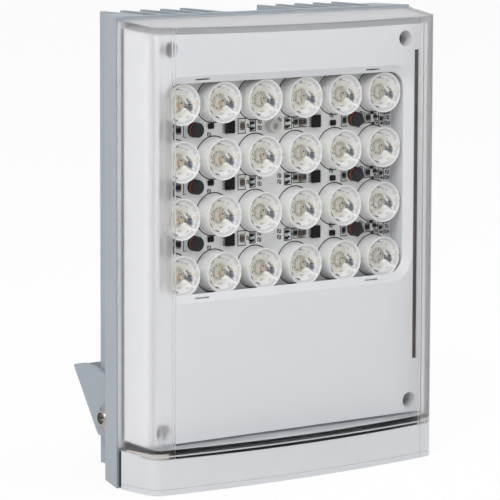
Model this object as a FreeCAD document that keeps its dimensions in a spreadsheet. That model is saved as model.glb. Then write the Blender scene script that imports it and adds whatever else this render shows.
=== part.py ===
import FreeCAD, Part
import os
import Sketcher

# White light illuminator: a finned aluminium housing, a clear cover over a white bezel and
# twenty-four lensed emitters, a white lower cap, and a tilting bracket behind the foot.
# Millimetres. X to the right, Y to the back, Z up. The origin is the middle of the
# housing plate's bottom edge, so the plate's front face lies half its depth ahead of it.

SIZES = {
    # Housing
    "housing_height": 181.3,
    "flange_width": 142.7,
    "plate_depth": 3.0,
    "skin_draft": 5.35,
    "skin_depth": 15.8,
    "fin_pitch": 9.46,
    "fin_depth": 31.2,
    "fin_tip": 2.1,
    "fin_root": 2.7,
    "fin_fillet": 2.2,
    "fin_foot": 3.5,
    "pedestal_depth": 1.5,
    "post_radius": 2.8,
    "lug_width": 10.0,
    "lug_height": 7.0,
    "lug_reach": 15.0,
    "lug_inset": 26.35,
    # Seals
    "gasket_depth": 0.8,
    "gasket_width": 2.6,
    "gasket_inset": 0.7,
    "foot_seal_depth": 2.5,
    "foot_seal_width": 1.7,
    "foot_seal_inset": 0.7,
    # Clear cover
    "cover_wall": 3.0,
    "lip_depth": 1.3,
    "lip_height": 0.4,
    "side_draft": 2.6,
    "corner_ahead": 21.3,
    "front_bow": 4.9,
    "corner_radius": 9.5,
    "inner_corner_radius": 1.5,
    "cover_top_inset": 1.25,
    "top_draft": 2.5,
    "cover_foot": 15.4,
    "foot_draft": 1.9,
    # Lower cap
    "cap_wall": 2.5,
    "cap_seam": 0.4,
    "cap_screw_radius": 2.0,
    "cap_head_radius": 3.6,
    "cap_head_depth": 1.4,
    "cap_head_sink": 0.3,
    "drive_depth": 0.7,
    "screw_end_gap": 1.5,
    # Bezel
    "bezel_ahead": 14.4,
    "bezel_plate": 3.0,
    "bezel_skirt": 1.6,
    "bezel_gap": 0.45,
    "bezel_rear_gap": 1.0,
    "window_side_margin": 13.45,
    "window_top_margin": 25.5,
    "window_height": 81.2,
    "window_radius": 7.0,
    "window_wall": 1.2,
    "window_wall_step": 0.3,
    "window_wall_drop": 1.4,
    "window_wall_gap": 0.25,
    "bevel_width": 2.9,
    "bevel_depth": 2.6,
    "top_screw_inset": 14.75,
    "top_screw_drop": 12.2,
    "foot_screw_inset": 11.45,
    "foot_screw_height": 22.75,
    "recess_radius": 3.15,
    "recess_depth": 8.0,
    "recess_wall": 0.9,
    "recess_floor": 1.8,
    "post_gap": 0.3,
    "bezel_head_radius": 2.7,
    "bezel_head_depth": 1.7,
    "bezel_screw_length": 8.0,
    "slot_inset": 8.7,
    "slot_width": 2.5,
    "groove_depth": 0.8,
    "slot_low": 39.5,
    "slot_drop": 16.9,
    "catch_inset": 30.15,
    "catch_width": 6.6,
    "catch_height": 0.6,
    # Emitter board
    "board_side_margin": 11.35,
    "board_height": 98.0,
    "board_depth": 1.6,
    "board_drop": 66.65,
    "pad_depth": 0.65,
    "pad_margin": 1.5,
    "lens_pitch_across": 19.54,
    "lens_pitch_up": 22.0,
    # Lens cup and lens
    "cup_height": 7.6,
    "cup_radius": 8.08,
    "cup_foot_radius": 7.8,
    "cup_bore": 7.35,
    "cup_floor": 1.0,
    "cup_mouth": 2.9,
    "cup_notch": 1.6,
    "cup_notch_depth": 0.6,
    "lens_gap": 0.1,
    "lens_recess": 0.5,
    "lens_flange": 0.9,
    "lens_waist": 6.6,
    "lens_foot_radius": 3.5,
    "lens_dish_radius": 2.3,
    "lens_dish_depth": 2.0,
    "lens_well_radius": 2.1,
    "lens_well_depth": 2.8,
    "emitter_width": 3.45,
    "emitter_depth": 0.8,
    # Board parts
    "coil_radius": 2.95,
    "coil_core": 2.3,
    "coil_height": 3.0,
    "coil_cheek": 0.8,
    "chip_width": 3.9,
    "chip_height": 4.9,
    "chip_depth": 1.5,
    "lead_reach": 1.0,
    "lead_width": 0.42,
    "lead_depth": 0.25,
    "lead_pitch": 1.27,
    "diode_width": 2.7,
    "diode_height": 2.2,
    "diode_depth": 1.1,
    "capacitor_width": 1.6,
    "capacitor_height": 3.2,
    "capacitor_depth": 1.2,
    "resistor_width": 1.6,
    "resistor_height": 0.85,
    "resistor_depth": 0.5,
    "coil_across_left": 38.6,
    "coil_across_right": 39.2,
    "coil_rise": 0.35,
    "chip_across_left": 22.0,
    "chip_across_right": 19.8,
    "chip_rise": 0.55,
    "diode_across_left": 30.9,
    "diode_across_right": 28.4,
    "diode_rise_left": 1.4,
    "diode_drop_right": 0.6,
    "capacitor_across_outer": 46.1,
    "capacitor_across_left": 15.8,
    "capacitor_across_right": 12.6,
    "capacitor_rise": 0.6,
    "pair_across_left": 10.6,
    "pair_across_right": 6.7,
    "pair_rise": 0.5,
    "three_across": 53.2,
    "resistor_pitch": 2.15,
    "board_head_radius": 2.75,
    "board_head_depth": 3.0,
    "board_screw_radius": 1.5,
    "board_screw_length": 5.6,
    "board_screw_inset": 3.0,
    "centre_screw_left": 1.7,
    "screw_gap": 0.1,
    # Driver bay
    "driver_inset": 15.35,
    "driver_width": 38.0,
    "driver_low": 29.0,
    "driver_height": 33.0,
    "driver_post": 2.2,
    "driver_post_radius": 2.4,
    "driver_post_inset": 3.5,
    "choke_inset": 11.0,
    "choke_radius": 5.2,
    "choke_height": 5.0,
    "reservoir_radius": 3.3,
    "reservoir_height": 6.5,
    "reservoir_rise": 9.0,
    "reservoir_pitch": 10.0,
    "terminal_left": 18.0,
    "terminal_pitch": 5.0,
    "terminal_low": 30.0,
    "terminal_height": 10.0,
    "terminal_depth": 9.0,
    "terminal_hole": 2.6,
    "terminal_floor": 1.6,
    # Cable gland and vent
    "gland_height": 52.0,
    "gland_thread": 7.9,
    "gland_bore": 4.0,
    "gland_collar_radius": 12.7,
    "gland_collar": 5.5,
    "gland_dome_radius": 10.6,
    "gland_dome": 12.0,
    "gland_mouth_radius": 7.2,
    "gland_nut_radius": 10.9,
    "gland_nut": 3.5,
    "gland_thread_end": 5.0,
    "vent_height": 33.0,
    "vent_thread": 3.0,
    "vent_head_radius": 6.0,
    "vent_head": 3.6,
    "vent_thread_end": 2.5,
    # Bracket and its pivot
    "bracket_tilt": 34.28,
    "pivot_behind": 21.9,
    "pivot_height": 23.1,
    "pivot_radius": 3.0,
    "pivot_length": 11.5,
    "pivot_gap": 0.3,
    "button_radius": 5.25,
    "button_height": 3.3,
    "button_crown": 2.9,
    "socket_radius": 2.3,
    "socket_depth": 1.9,
    "washer_depth": 0.5,
    "washer_radius": 6.2,
    "sheet": 2.5,
    "bend_radius": 1.3,
    "web_ahead": 12.64,
    "web_low": 10.0,
    "web_top": 28.44,
    "ear_radius": 8.8,
    "ear_foot": 0.13,
    "ear_shoulder": 14.3,
    "ear_crown_across": 1.06,
    "ear_crown_up": 23.36,
    "ear_crown_radius": 19.5,
    "web_bore": 4.25,
    "web_hole": 3.3,
    "web_hole_spacing": 60.0,
    "pocket_gap": 0.7,
    "pocket_rise": 18.9,
    "pivot_boss": 7.0,
}

COLUMNS = 6
ROWS = 4
FINS_A_SIDE = 5
OUTER_FIN = 6


class Size:
    """A number together with the sheet formula that it comes from."""

    def __init__(self, value, formula):
        self.value = value
        self.formula = formula

    def _join(self, sign, other, value):
        return Size(value, "(%s %s %s)" % (self.formula, sign, other.formula))

    def __add__(self, other):
        other = as_size(other)
        return self._join("+", other, self.value + other.value)

    def __sub__(self, other):
        other = as_size(other)
        return self._join("-", other, self.value - other.value)

    def __rsub__(self, other):
        return as_size(other) - self

    def __mul__(self, other):
        other = as_size(other)
        return self._join("*", other, self.value * other.value)

    def __truediv__(self, other):
        other = as_size(other)
        return self._join("/", other, self.value / other.value)

    def __neg__(self):
        return Size(-self.value, "(-%s)" % self.formula)

    def root(self):
        return Size(self.value ** 0.5, "sqrt(%s)" % self.formula)

    __radd__ = __add__
    __rmul__ = __mul__


def as_size(number):
    return number if isinstance(number, Size) else Size(float(number), repr(float(number)))


class Sheet:
    """The sheet's named cells, each read as a Size."""

    def __getattr__(self, alias):
        return Size(SIZES[alias], "Sizes." + alias)


doc = FreeCAD.newDocument("Illuminator")
sheet = doc.addObject("Spreadsheet::Sheet", "Sizes")
for line, (alias, number) in enumerate(SIZES.items(), 1):
    sheet.set("A%d" % line, alias)
    sheet.set("B%d" % line, str(number))
    sheet.setAlias("B%d" % line, alias)
doc.recompute()
s = Sheet()

# Turns that lay a cylinder's own Z axis along the named axis.
ALONG = {
    "x": FreeCAD.Rotation(FreeCAD.Vector(0, 1, 0), 90),
    "y": FreeCAD.Rotation(FreeCAD.Vector(1, 0, 0), -90),
    "z": FreeCAD.Rotation(),
}


def bind(thing, **sizes):
    for name, size in sizes.items():
        thing.setExpression(name, as_size(size).formula)


def put(thing, x, y, z, turn=None):
    """Binds the place of a piece, with an optional fixed turn."""
    thing.Placement = FreeCAD.Placement(FreeCAD.Vector(), turn or FreeCAD.Rotation())
    for axis, size in zip("xyz", (x, y, z)):
        thing.setExpression("Placement.Base." + axis, as_size(size).formula)
    return thing


def box(name, x, y, z):
    """A box between the low and high places on each axis."""
    solid = doc.addObject("Part::Box", name)
    bind(solid, Length=x[1] - x[0], Width=y[1] - y[0], Height=z[1] - z[0])
    return put(solid, x[0], y[0], z[0])


def cylinder(name, axis, centre, radius, reach):
    """A cylinder along an axis, between two places on it. The centre gives the other two."""
    solid = doc.addObject("Part::Cylinder", name)
    bind(solid, Radius=radius, Height=reach[1] - reach[0])
    place = list(centre)
    place.insert("xyz".index(axis), reach[0])
    return put(solid, *place, turn=ALONG[axis])


def hexagon(name, centre, radius, reach):
    """A hexagonal prism along Y."""
    solid = doc.addObject("Part::Prism", name)
    solid.Polygon = 6
    bind(solid, Circumradius=radius, Height=reach[1] - reach[0])
    return put(solid, centre[0], reach[0], centre[1], turn=ALONG["y"])


def fuse(name, *pieces):
    joined = doc.addObject("Part::MultiFuse", name)
    joined.Shapes = list(pieces)
    return joined


def common(name, *pieces):
    shared = doc.addObject("Part::MultiCommon", name)
    shared.Shapes = list(pieces)
    return shared


def cut(name, base, *tools):
    result = doc.addObject("Part::Cut", name)
    result.Base = base
    result.Tool = tools[0] if len(tools) == 1 else fuse(name + "_tools", *tools)
    return result


def group(name, pieces):
    """Separate solids kept together in one node."""
    together = doc.addObject("Part::Compound", name)
    together.Links = list(pieces)
    return together


def placed(name, source, x, y, z):
    """A copy of a finished piece at another place."""
    return put(group(name, [source]), x, y, z)


def mirrored(name, source):
    """The piece seen in the plane X = 0."""
    image = doc.addObject("Part::Mirroring", name)
    image.Source = source
    image.Normal = FreeCAD.Vector(1, 0, 0)
    return image


def body(name):
    return doc.addObject("PartDesign::Body", name)


def arc_between(start, end, radius):
    """An arc that turns left for a radius above nought, and right for one below."""
    chord = end - start
    across = FreeCAD.Vector(-chord.y, chord.x, 0).normalize()
    rise = (radius * radius - chord.Length * chord.Length / 4) ** 0.5
    centre = (start + end) / 2 + across * (rise if radius > 0 else -rise)
    first, last = (start, end) if radius > 0 else (end, start)
    east = FreeCAD.Vector(1, 0, 0)
    turns = []
    for point in (first, last):
        spoke = point - centre
        turns.append(spoke.getAngle(east) * (1 if spoke.y >= 0 else -1))
    circle = Part.Circle(centre, FreeCAD.Vector(0, 0, 1), abs(radius))
    return Part.ArcOfCircle(circle, turns[0], turns[1])


def sketch(owner, name, plane, offset, points):
    """A closed outline. A point is (across, up), or (across, up, radius) where an arc follows."""
    drawing = owner.newObject("Sketcher::SketchObject", name)
    planes = {feature.Role: feature for feature in owner.Origin.OriginFeatures}
    drawing.AttachmentSupport = [(planes[plane + "_Plane"], "")]
    drawing.MapMode = "FlatFace"
    bind(drawing, **{"AttachmentOffset.Base.z": offset})
    corners = [FreeCAD.Vector(as_size(p[0]).value, as_size(p[1]).value, 0) for p in points]
    count = len(points)
    ends = []
    for i, point in enumerate(points):
        start, end = corners[i], corners[(i + 1) % count]
        if len(point) == 3:
            drawing.addGeometry(arc_between(start, end, point[2].value), False)
            ends.append((1, 2) if point[2].value > 0 else (2, 1))
        else:
            drawing.addGeometry(Part.LineSegment(start, end), False)
            ends.append((1, 2))
    for i in range(count):
        after = (i + 1) % count
        drawing.addConstraint(
            Sketcher.Constraint("Coincident", i, ends[i][1], after, ends[after][0])
        )
    for i, point in enumerate(points):
        for kind, size in (("DistanceX", point[0]), ("DistanceY", point[1])):
            size = as_size(size)
            number = drawing.addConstraint(
                Sketcher.Constraint(kind, -1, 1, i, ends[i][0], size.value)
            )
            drawing.setExpression("Constraints[%d]" % number, size.formula)
        if len(point) == 3:
            radius = point[2] if point[2].value > 0 else -point[2]
            number = drawing.addConstraint(Sketcher.Constraint("Radius", i, radius.value))
            drawing.setExpression("Constraints[%d]" % number, radius.formula)
    return drawing


def pad(owner, name, drawing, length, midplane=False):
    feature = owner.newObject("PartDesign::Pad", name)
    feature.Profile = drawing
    feature.Midplane = midplane
    bind(feature, Length=length)
    return feature


def turned(name, points):
    """A turned piece about the Y axis, from an outline of (radius, y) points."""
    piece = body(name)
    drawing = sketch(piece, name + "_outline", "XY", 0, points)
    feature = piece.newObject("PartDesign::Revolution", name + "_turn")
    feature.Profile = drawing
    feature.ReferenceAxis = (drawing, ["V_Axis"])
    feature.Angle = 360
    return piece


def row_of(owner, name, feature, axis, length, count):
    """Repeats a feature along one of the body's own axes."""
    pattern = owner.newObject("PartDesign::LinearPattern", name)
    pattern.Originals = [feature]
    axes = {item.Role: item for item in owner.Origin.OriginFeatures}
    pattern.Direction = (axes[axis + "_Axis"], [""])
    bind(pattern, Length=length)
    pattern.Occurrences = count
    owner.Tip = pattern
    return pattern


def round_edges(owner, name, feature, radius, wanted):
    """Fillets the upright edges of a feature whose middle passes the test."""
    doc.recompute()
    names = []
    for number, edge in enumerate(feature.Shape.Edges, 1):
        box_of = edge.BoundBox
        upright = box_of.XLength < 1e-6 and box_of.YLength < 1e-6
        if upright and wanted(edge.CenterOfMass):
            names.append("Edge%d" % number)
    fillet = owner.newObject("PartDesign::Fillet", name)
    fillet.Base = (feature, names)
    bind(fillet, Radius=radius)
    return fillet


def rounded_rectangle(half_width, low, high, radius):
    """The outline of a rectangle with round corners, drawn the left-turning way."""
    return [
        (radius - half_width, low),
        (half_width - radius, low, radius),
        (half_width, low + radius),
        (half_width, high - radius, radius),
        (half_width - radius, high),
        (radius - half_width, high, radius),
        (-half_width, high - radius),
        (-half_width, low + radius, radius),
    ]


# Places that several pieces share.
plate_half = s.flange_width / 2
plate_face = -s.plate_depth / 2
plate_back = s.plate_depth / 2
cover_rear = plate_face - s.gasket_depth
lip_front = cover_rear - s.lip_depth
cover_corner = plate_face - s.corner_ahead
cover_nose = cover_corner - s.front_bow
cover_rear_half = plate_half - s.lip_height
cover_front_half = cover_rear_half - s.side_draft
side_taper = s.side_draft / (lip_front - cover_corner)
front_radius = (cover_front_half * cover_front_half + s.front_bow * s.front_bow) / (
    s.front_bow * 2
)
front_centre = cover_nose + front_radius
cover_top_rear = s.housing_height - s.cover_top_inset
top_slope = s.top_draft / (lip_front - cover_nose)
foot_slope = s.foot_draft / (lip_front - cover_nose)
window_half = plate_half - s.window_side_margin
window_high = s.housing_height - s.window_top_margin
window_low = window_high - s.window_height
bezel_face = plate_face - s.bezel_ahead
bezel_back = bezel_face + s.bezel_plate
pad_face = plate_face - s.pedestal_depth
board_back = pad_face - s.pad_depth
board_face = board_back - s.board_depth
post_face = bezel_face + s.recess_depth + s.recess_floor
fin_outer = s.fin_pitch * OUTER_FIN + s.fin_tip / 2
ear_inner = fin_outer + s.washer_depth
ear_outer = ear_inner + s.sheet
pivot_y = plate_face + s.pivot_behind


def cover_half(y):
    """Half the cover's outside width at a place between its lip and its corners."""
    return cover_rear_half - (lip_front - y) * side_taper


def cover_top(y):
    return cover_top_rear - (lip_front - y) * top_slope


def cover_foot(y):
    return s.cover_foot - (lip_front - y) * foot_slope


def bow_at(half_width, inset):
    """Where the bowed front, moved in by an inset, crosses a half width."""
    radius = front_radius - inset
    return front_centre - (radius * radius - half_width * half_width).root()


bezel_screws = [
    (side * (plate_half - s.top_screw_inset), s.housing_height - s.top_screw_drop)
    for side in (-1, 1)
] + [(side * (plate_half - s.foot_screw_inset), s.foot_screw_height) for side in (-1, 1)]
board_half = plate_half - s.board_side_margin
board_centre = s.housing_height - s.board_drop
board_half_height = s.board_height / 2
board_low = board_centre - board_half_height
board_high = board_centre + board_half_height
board_screws = [(-s.centre_screw_left, board_centre + s.lens_pitch_up)] + [
    (side * (board_half - s.board_screw_inset), height)
    for side in (-1, 1)
    for height in (board_low + s.board_screw_inset, board_high - s.board_screw_inset)
]
driver_left = s.driver_inset - plate_half
driver_posts = [
    (driver_left + inset_x, s.driver_low + inset_z)
    for inset_x in (s.driver_post_inset, s.driver_width - s.driver_post_inset)
    for inset_z in (s.driver_post_inset, s.driver_height - s.driver_post_inset)
]


def heat_sink():
    """The extruded profile: plate, wedge-shaped sides and two banks of fins."""
    sink = body("heat_sink")
    half = plate_half
    rear = half - s.skin_draft
    skin_y = plate_face + s.skin_depth
    inner = s.fin_pitch * OUTER_FIN
    outline = [
        (-half, plate_face),
        (half, plate_face),
        (rear, skin_y),
        (inner, skin_y),
        (inner, plate_back),
        (-inner, plate_back),
        (-inner, skin_y),
        (-rear, skin_y),
    ]
    section = sketch(sink, "sink_outline", "XY", 0, outline)
    pad(sink, "sink_length", section, s.housing_height)
    tip_y = plate_face + s.fin_depth
    for side, word in ((-1, "left"), (1, "right")):
        middle = side * s.fin_pitch * OUTER_FIN
        root = s.fin_root / 2
        foot = root + s.fin_fillet
        fin = [
            (middle - foot, plate_back),
            (middle + foot, plate_back, -s.fin_fillet),
            (middle + root, plate_back + s.fin_fillet),
            (middle + s.fin_tip / 2, tip_y),
            (middle - s.fin_tip / 2, tip_y),
            (middle - root, plate_back + s.fin_fillet, -s.fin_fillet),
        ]
        section = sketch(sink, word + "_fin_outline", "XY", s.fin_foot, fin)
        blade = pad(sink, word + "_fin", section, s.housing_height - s.fin_foot)
        bank = row_of(sink, word + "_fins", blade, "X", s.fin_pitch * (FINS_A_SIDE - 1), FINS_A_SIDE)
        bank.Reversed = side > 0
    return sink


def housing():
    """The sink with the seats that the other pieces fasten to."""
    added = [heat_sink()]
    pedestal_half = board_half - s.pad_margin
    pedestal_z = (board_low + s.pad_margin, board_high - s.pad_margin)
    added.append(
        box("pedestal", (-pedestal_half, pedestal_half), (pad_face, plate_face), pedestal_z)
    )
    for i, (x, z) in enumerate(bezel_screws):
        added.append(
            cylinder("post_%d" % i, "y", (x, z), s.post_radius, (post_face, plate_face))
        )
    driver_seat = plate_face - s.driver_post
    for i, (x, z) in enumerate(driver_posts):
        added.append(
            cylinder(
                "driver_post_%d" % i, "y", (x, z), s.driver_post_radius, (driver_seat, plate_face)
            )
        )
    lug_z = (s.cap_wall, s.cap_wall + s.lug_height)
    removed = []
    for side, word in ((-1, "left"), (1, "right")):
        middle = side * (plate_half - s.lug_inset)
        lug_x = (middle - s.lug_width / 2, middle + s.lug_width / 2)
        added.append(box(word + "_lug", lug_x, (plate_face - s.lug_reach, plate_face), lug_z))
        removed.append(
            cylinder(
                word + "_lug_hole",
                "z",
                (middle, plate_face - s.lug_reach + s.lug_width / 2),
                s.cap_screw_radius + s.screw_gap / 2,
                (s.cap_wall - 1, s.cap_wall + s.lug_height - s.screw_end_gap + s.screw_gap),
            )
        )
        inside = side * (s.fin_pitch * (OUTER_FIN - 1))
        outside = side * fin_outer
        boss_x = (outside, inside) if side < 0 else (inside, outside)
        boss_z = (s.pivot_height - s.pivot_boss, s.pivot_height + s.pivot_boss)
        added.append(box(word + "_boss", boss_x, (plate_face, pivot_y + s.pivot_boss), boss_z))
        reach = s.pivot_length + s.screw_gap
        hole_x = (outside, outside + reach) if side < 0 else (outside - reach, outside)
        removed.append(
            cylinder(
                word + "_pivot_hole",
                "x",
                (pivot_y, s.pivot_height),
                s.pivot_radius + s.screw_gap / 2,
                hole_x,
            )
        )
        pocket = side * (ear_outer + s.pocket_gap)
        pocket_x = (pocket, outside) if side < 0 else (outside, pocket)
        pocket_y = (pivot_y - s.ear_radius - s.pocket_gap, plate_face + s.fin_depth + 1)
        pocket_z = (
            s.pivot_height - s.ear_radius - s.pocket_gap,
            s.pivot_height + s.pocket_rise,
        )
        removed.append(box(word + "_pocket", pocket_x, pocket_y, pocket_z))
    for i, (x, z) in enumerate(bezel_screws):
        hole_end = post_face + s.bezel_screw_length - s.recess_floor + s.screw_gap
        radius = s.board_screw_radius + s.screw_gap / 2
        removed.append(cylinder("post_hole_%d" % i, "y", (x, z), radius, (post_face - 1, hole_end)))
    for i, (x, z) in enumerate(board_screws):
        hole_end = board_face + s.board_screw_length + s.screw_gap
        radius = s.board_screw_radius + s.screw_gap / 2
        removed.append(cylinder("board_hole_%d" % i, "y", (x, z), radius, (pad_face - 1, hole_end)))
    through = (plate_face - 1, plate_back + 1)
    gland_radius = s.gland_thread + s.screw_gap
    removed.append(cylinder("gland_hole", "y", (0, s.gland_height), gland_radius, through))
    vent_radius = s.vent_thread + s.screw_gap
    removed.append(cylinder("vent_hole", "y", (0, s.vent_height), vent_radius, through))
    return cut("housing", fuse("housing_blank", *added), *removed)


def frame_ring(name, half, low, high, width, reach):
    """A flat rectangular seal."""
    outer = box(name + "_outer", (-half, half), reach, (low, high))
    hole = box(
        name + "_hole",
        (width - half, half - width),
        (reach[0] - 1, reach[1] + 1),
        (low + width, high - width),
    )
    return cut(name, outer, hole)


def crossed(name, plan_points, side_points, radius):
    """The block that a plan and a side view share, with its front upright corners rounded."""
    plan = body(name + "_plan")
    drawing = sketch(plan, name + "_plan_outline", "XY", -1, plan_points)
    length = pad(plan, name + "_plan_length", drawing, s.housing_height + 2)
    places = [as_size(point[1]).value for point in plan_points]
    middle_place = (min(places) + max(places)) / 2
    round_edges(
        plan, name + "_corners", length, radius, lambda middle: middle.y < middle_place
    )
    side = body(name + "_side")
    drawing = sketch(side, name + "_side_outline", "YZ", 0, side_points)
    pad(side, name + "_side_length", drawing, s.flange_width + 2, midplane=True)
    return common(name, plan, side)


def bowed_plan(inset, rear):
    """The plan inside the cover's sides and bowed front, moved in by an inset."""
    rear_half = cover_half(rear) - inset
    front_half = cover_front_half - inset
    front = bow_at(front_half, inset)
    return [
        (-rear_half, rear),
        (-front_half, front, front_radius - inset),
        (front_half, front),
        (rear_half, rear),
    ]


def sloped_side(inset, rear, front):
    """The side view between the cover's sloping top and foot, moved in by an inset."""
    return [
        (rear, cover_foot(rear) + inset),
        (rear, cover_top(rear) - inset),
        (front, cover_top(front) - inset),
        (front, cover_foot(front) + inset),
    ]


def clear_cover():
    """The clear shell: a bowed front, five walls and a lip that meets the gasket."""
    lip = plate_half
    half = cover_rear_half
    corner_half = cover_front_half
    plan = [
        (-lip, cover_rear),
        (-lip, lip_front),
        (-half, lip_front),
        (-corner_half, cover_corner, front_radius),
        (corner_half, cover_corner),
        (half, lip_front),
        (lip, lip_front),
        (lip, cover_rear),
    ]
    ahead = cover_nose - 1
    side = [
        (cover_rear, s.cover_foot - s.lip_height),
        (cover_rear, cover_top_rear + s.lip_height),
        (lip_front, cover_top_rear + s.lip_height),
        (lip_front, cover_top_rear),
        (ahead, cover_top(ahead)),
        (ahead, cover_foot(ahead)),
        (lip_front, s.cover_foot),
        (lip_front, s.cover_foot - s.lip_height),
    ]
    outside = crossed("cover_outside", plan, side, s.corner_radius)
    behind = cover_rear + 1
    hollow = crossed(
        "cover_hollow",
        bowed_plan(s.cover_wall, behind),
        sloped_side(s.cover_wall, behind, ahead),
        s.inner_corner_radius,
    )
    return cut("clear_cover", outside, hollow)


def cap_side(inset, rear):
    """The lower cap's side view, from its floor up to the seam under the cover."""
    ahead = cover_nose - 1
    seam = s.cap_seam + inset
    return [
        (rear, inset),
        (rear, cover_foot(rear) - seam),
        (ahead, cover_foot(ahead) - seam),
        (ahead, inset),
    ]


def cap_screw_places():
    reach = plate_face - s.lug_reach + s.lug_width / 2
    return [(side * (plate_half - s.lug_inset), reach) for side in (-1, 1)]


def lower_cap():
    """The white cap that carries on the cover's form down to the foot."""
    rear = plate_face - s.foot_seal_depth
    none = as_size(0)
    outside = crossed("cap_outside", bowed_plan(none, rear), cap_side(none, rear), s.corner_radius)
    inner_radius = s.corner_radius - s.cap_wall / 2
    behind = rear + 1
    hollow = crossed(
        "cap_hollow", bowed_plan(s.cap_wall, behind), cap_side(s.cap_wall, behind), inner_radius
    )
    holes = []
    for i, place in enumerate(cap_screw_places()):
        shank = s.cap_screw_radius + s.screw_gap
        head = s.cap_head_radius + s.screw_gap
        holes.append(cylinder("cap_hole_%d" % i, "z", place, shank, (as_size(-1), s.cap_wall + 1)))
        sink = (as_size(-1), s.cap_head_depth + s.cap_head_sink)
        holes.append(cylinder("cap_sink_%d" % i, "z", place, head, sink))
    return cut("lower_cap", outside, hollow, *holes)


def tapered(name, gap, rear, front, radius):
    """A block between two places, a gap inside the cover's outside all round."""
    plan = [
        (-(cover_half(front) - gap), front),
        (cover_half(front) - gap, front),
        (cover_half(rear) - gap, rear),
        (-(cover_half(rear) - gap), rear),
    ]
    return crossed(name, plan, sloped_side(gap, rear, front), radius)


def bezel():
    """The white panel: a tray with a bevelled window, a slot, a groove and four screw recesses."""
    gap = s.cover_wall + s.bezel_gap
    rear = plate_face - s.gasket_depth - s.bezel_rear_gap
    tray = tapered("bezel_tray", gap, rear, bezel_face, s.bezel_skirt)
    inside = tapered("bezel_inside", gap + s.bezel_skirt, rear + 1, bezel_back, s.post_gap)
    cups = []
    holes = [window_cutter()]
    for i, (x, z) in enumerate(bezel_screws):
        cup_radius = s.recess_radius + s.recess_wall
        cups.append(cylinder("cup_%d" % i, "y", (x, z), cup_radius, (bezel_face + 1, post_face)))
        recess = (bezel_face - 1, bezel_face + s.recess_depth)
        holes.append(cylinder("recess_%d" % i, "y", (x, z), s.recess_radius, recess))
        shank = s.board_screw_radius + s.screw_gap
        through = (bezel_face, post_face + 1)
        holes.append(cylinder("shank_hole_%d" % i, "y", (x, z), shank, through))
        way = s.post_radius + s.post_gap
        holes.append(cylinder("post_way_%d" % i, "y", (x, z), way, (post_face, rear + 1)))
    for side, word in ((-1, "left"), (1, "right")):
        middle = side * (plate_half - s.slot_inset)
        slot_x = (middle - s.slot_width / 2, middle + s.slot_width / 2)
        depth = (bezel_face - 1, bezel_back + 1)
        slot_z = (s.slot_low, s.housing_height - s.slot_drop)
        slot_end = bezel_face + s.groove_depth if side < 0 else bezel_back + 1
        holes.append(box(word + "_slot", slot_x, (bezel_face - 1, slot_end), slot_z))
        middle = side * (plate_half - s.catch_inset)
        catch_x = (middle - s.catch_width / 2, middle + s.catch_width / 2)
        for edge, away in ((window_high, 1), (window_low, -1)):
            level = edge + s.bevel_width * away / 2
            catch_z = (level - s.catch_height / 2, level + s.catch_height / 2)
            name = "%s_catch_%s" % (word, "top" if away > 0 else "foot")
            holes.append(box(name, catch_x, depth, catch_z))
    shell = cut("bezel_shell", tray, inside)
    wall, room = window_wall()
    return cut("bezel", fuse("bezel_blank", shell, wall, *cups), room, *holes)


def window_wall():
    """The wall from the window's edge back to the emitter board, and the room inside it."""
    end = board_face - s.window_wall_gap
    solids = []
    for name, step, start, depth in (
        ("window_wall", s.window_wall, end, end - bezel_face - 1),
        ("window_room", as_size(0), end + 1, end - bezel_back + 1),
    ):
        grown = s.window_wall_step + step
        outline = rounded_rectangle(
            window_half + grown,
            window_low - s.window_wall_drop - step,
            window_high + grown,
            s.window_radius + grown,
        )
        solid = body(name)
        section = sketch(solid, name + "_outline", "XZ", -start, outline)
        pad(solid, name + "_depth", section, depth)
        solids.append(solid)
    return solids


def window_cutter():
    """The window with its bevel, as a solid to take away."""
    half = window_half
    straight = body("window_straight")
    outline = rounded_rectangle(half, window_low, window_high, s.window_radius)
    section = sketch(straight, "window_outline", "XZ", -(bezel_back + 1), outline)
    pad(straight, "window_depth", section, s.bezel_plate + 2)
    bevel = body("window_bevel")
    grown = s.bevel_width
    wide = rounded_rectangle(
        half + grown, window_low - grown, window_high + grown, s.window_radius + grown
    )
    front = sketch(bevel, "bevel_front", "XZ", -bezel_face, wide)
    back = sketch(bevel, "bevel_back", "XZ", -(bezel_face + s.bevel_depth), outline)
    loft = bevel.newObject("PartDesign::AdditiveLoft", "bevel_loft")
    loft.Profile = front
    loft.Sections = [back]
    loft.Ruled = True
    return fuse("window_cutter", straight, bevel)


def flat_board(name, x, y, z, holes, radius):
    blank = box(name + "_blank", x, y, z)
    through = (y[0] - 1, y[1] + 1)
    drilled = [
        cylinder("%s_hole_%d" % (name, i), "y", place, radius, through)
        for i, place in enumerate(holes)
    ]
    return cut(name, blank, *drilled)


def lens_places():
    """The lens centres by row from the top, each row from the left."""
    across = [s.lens_pitch_across * (column - (COLUMNS - 1) / 2) for column in range(COLUMNS)]
    up = [board_centre + s.lens_pitch_up * ((ROWS - 1) / 2 - row) for row in range(ROWS)]
    return [[(x, z) for x in across] for z in up]


def cup_master():
    """A white cup with its rim ahead and an open floor round the emitter."""
    rim = -s.cup_height
    cup = turned(
        "cup_body",
        [
            (s.cup_mouth, 0),
            (s.cup_foot_radius, 0),
            (s.cup_radius, rim),
            (s.cup_bore, rim),
            (s.cup_bore, rim + s.lens_recess + s.lens_flange),
            (s.lens_foot_radius + s.lens_gap * 2, -s.cup_floor),
            (s.cup_mouth, -s.cup_floor),
        ],
    )
    notch = box(
        "cup_notch_bar",
        (-s.cup_radius - 1, s.cup_radius + 1),
        (rim - 1, rim + s.cup_notch_depth),
        (-s.cup_notch / 2, s.cup_notch / 2),
    )
    return cut("cup_master", cup, notch)


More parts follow.
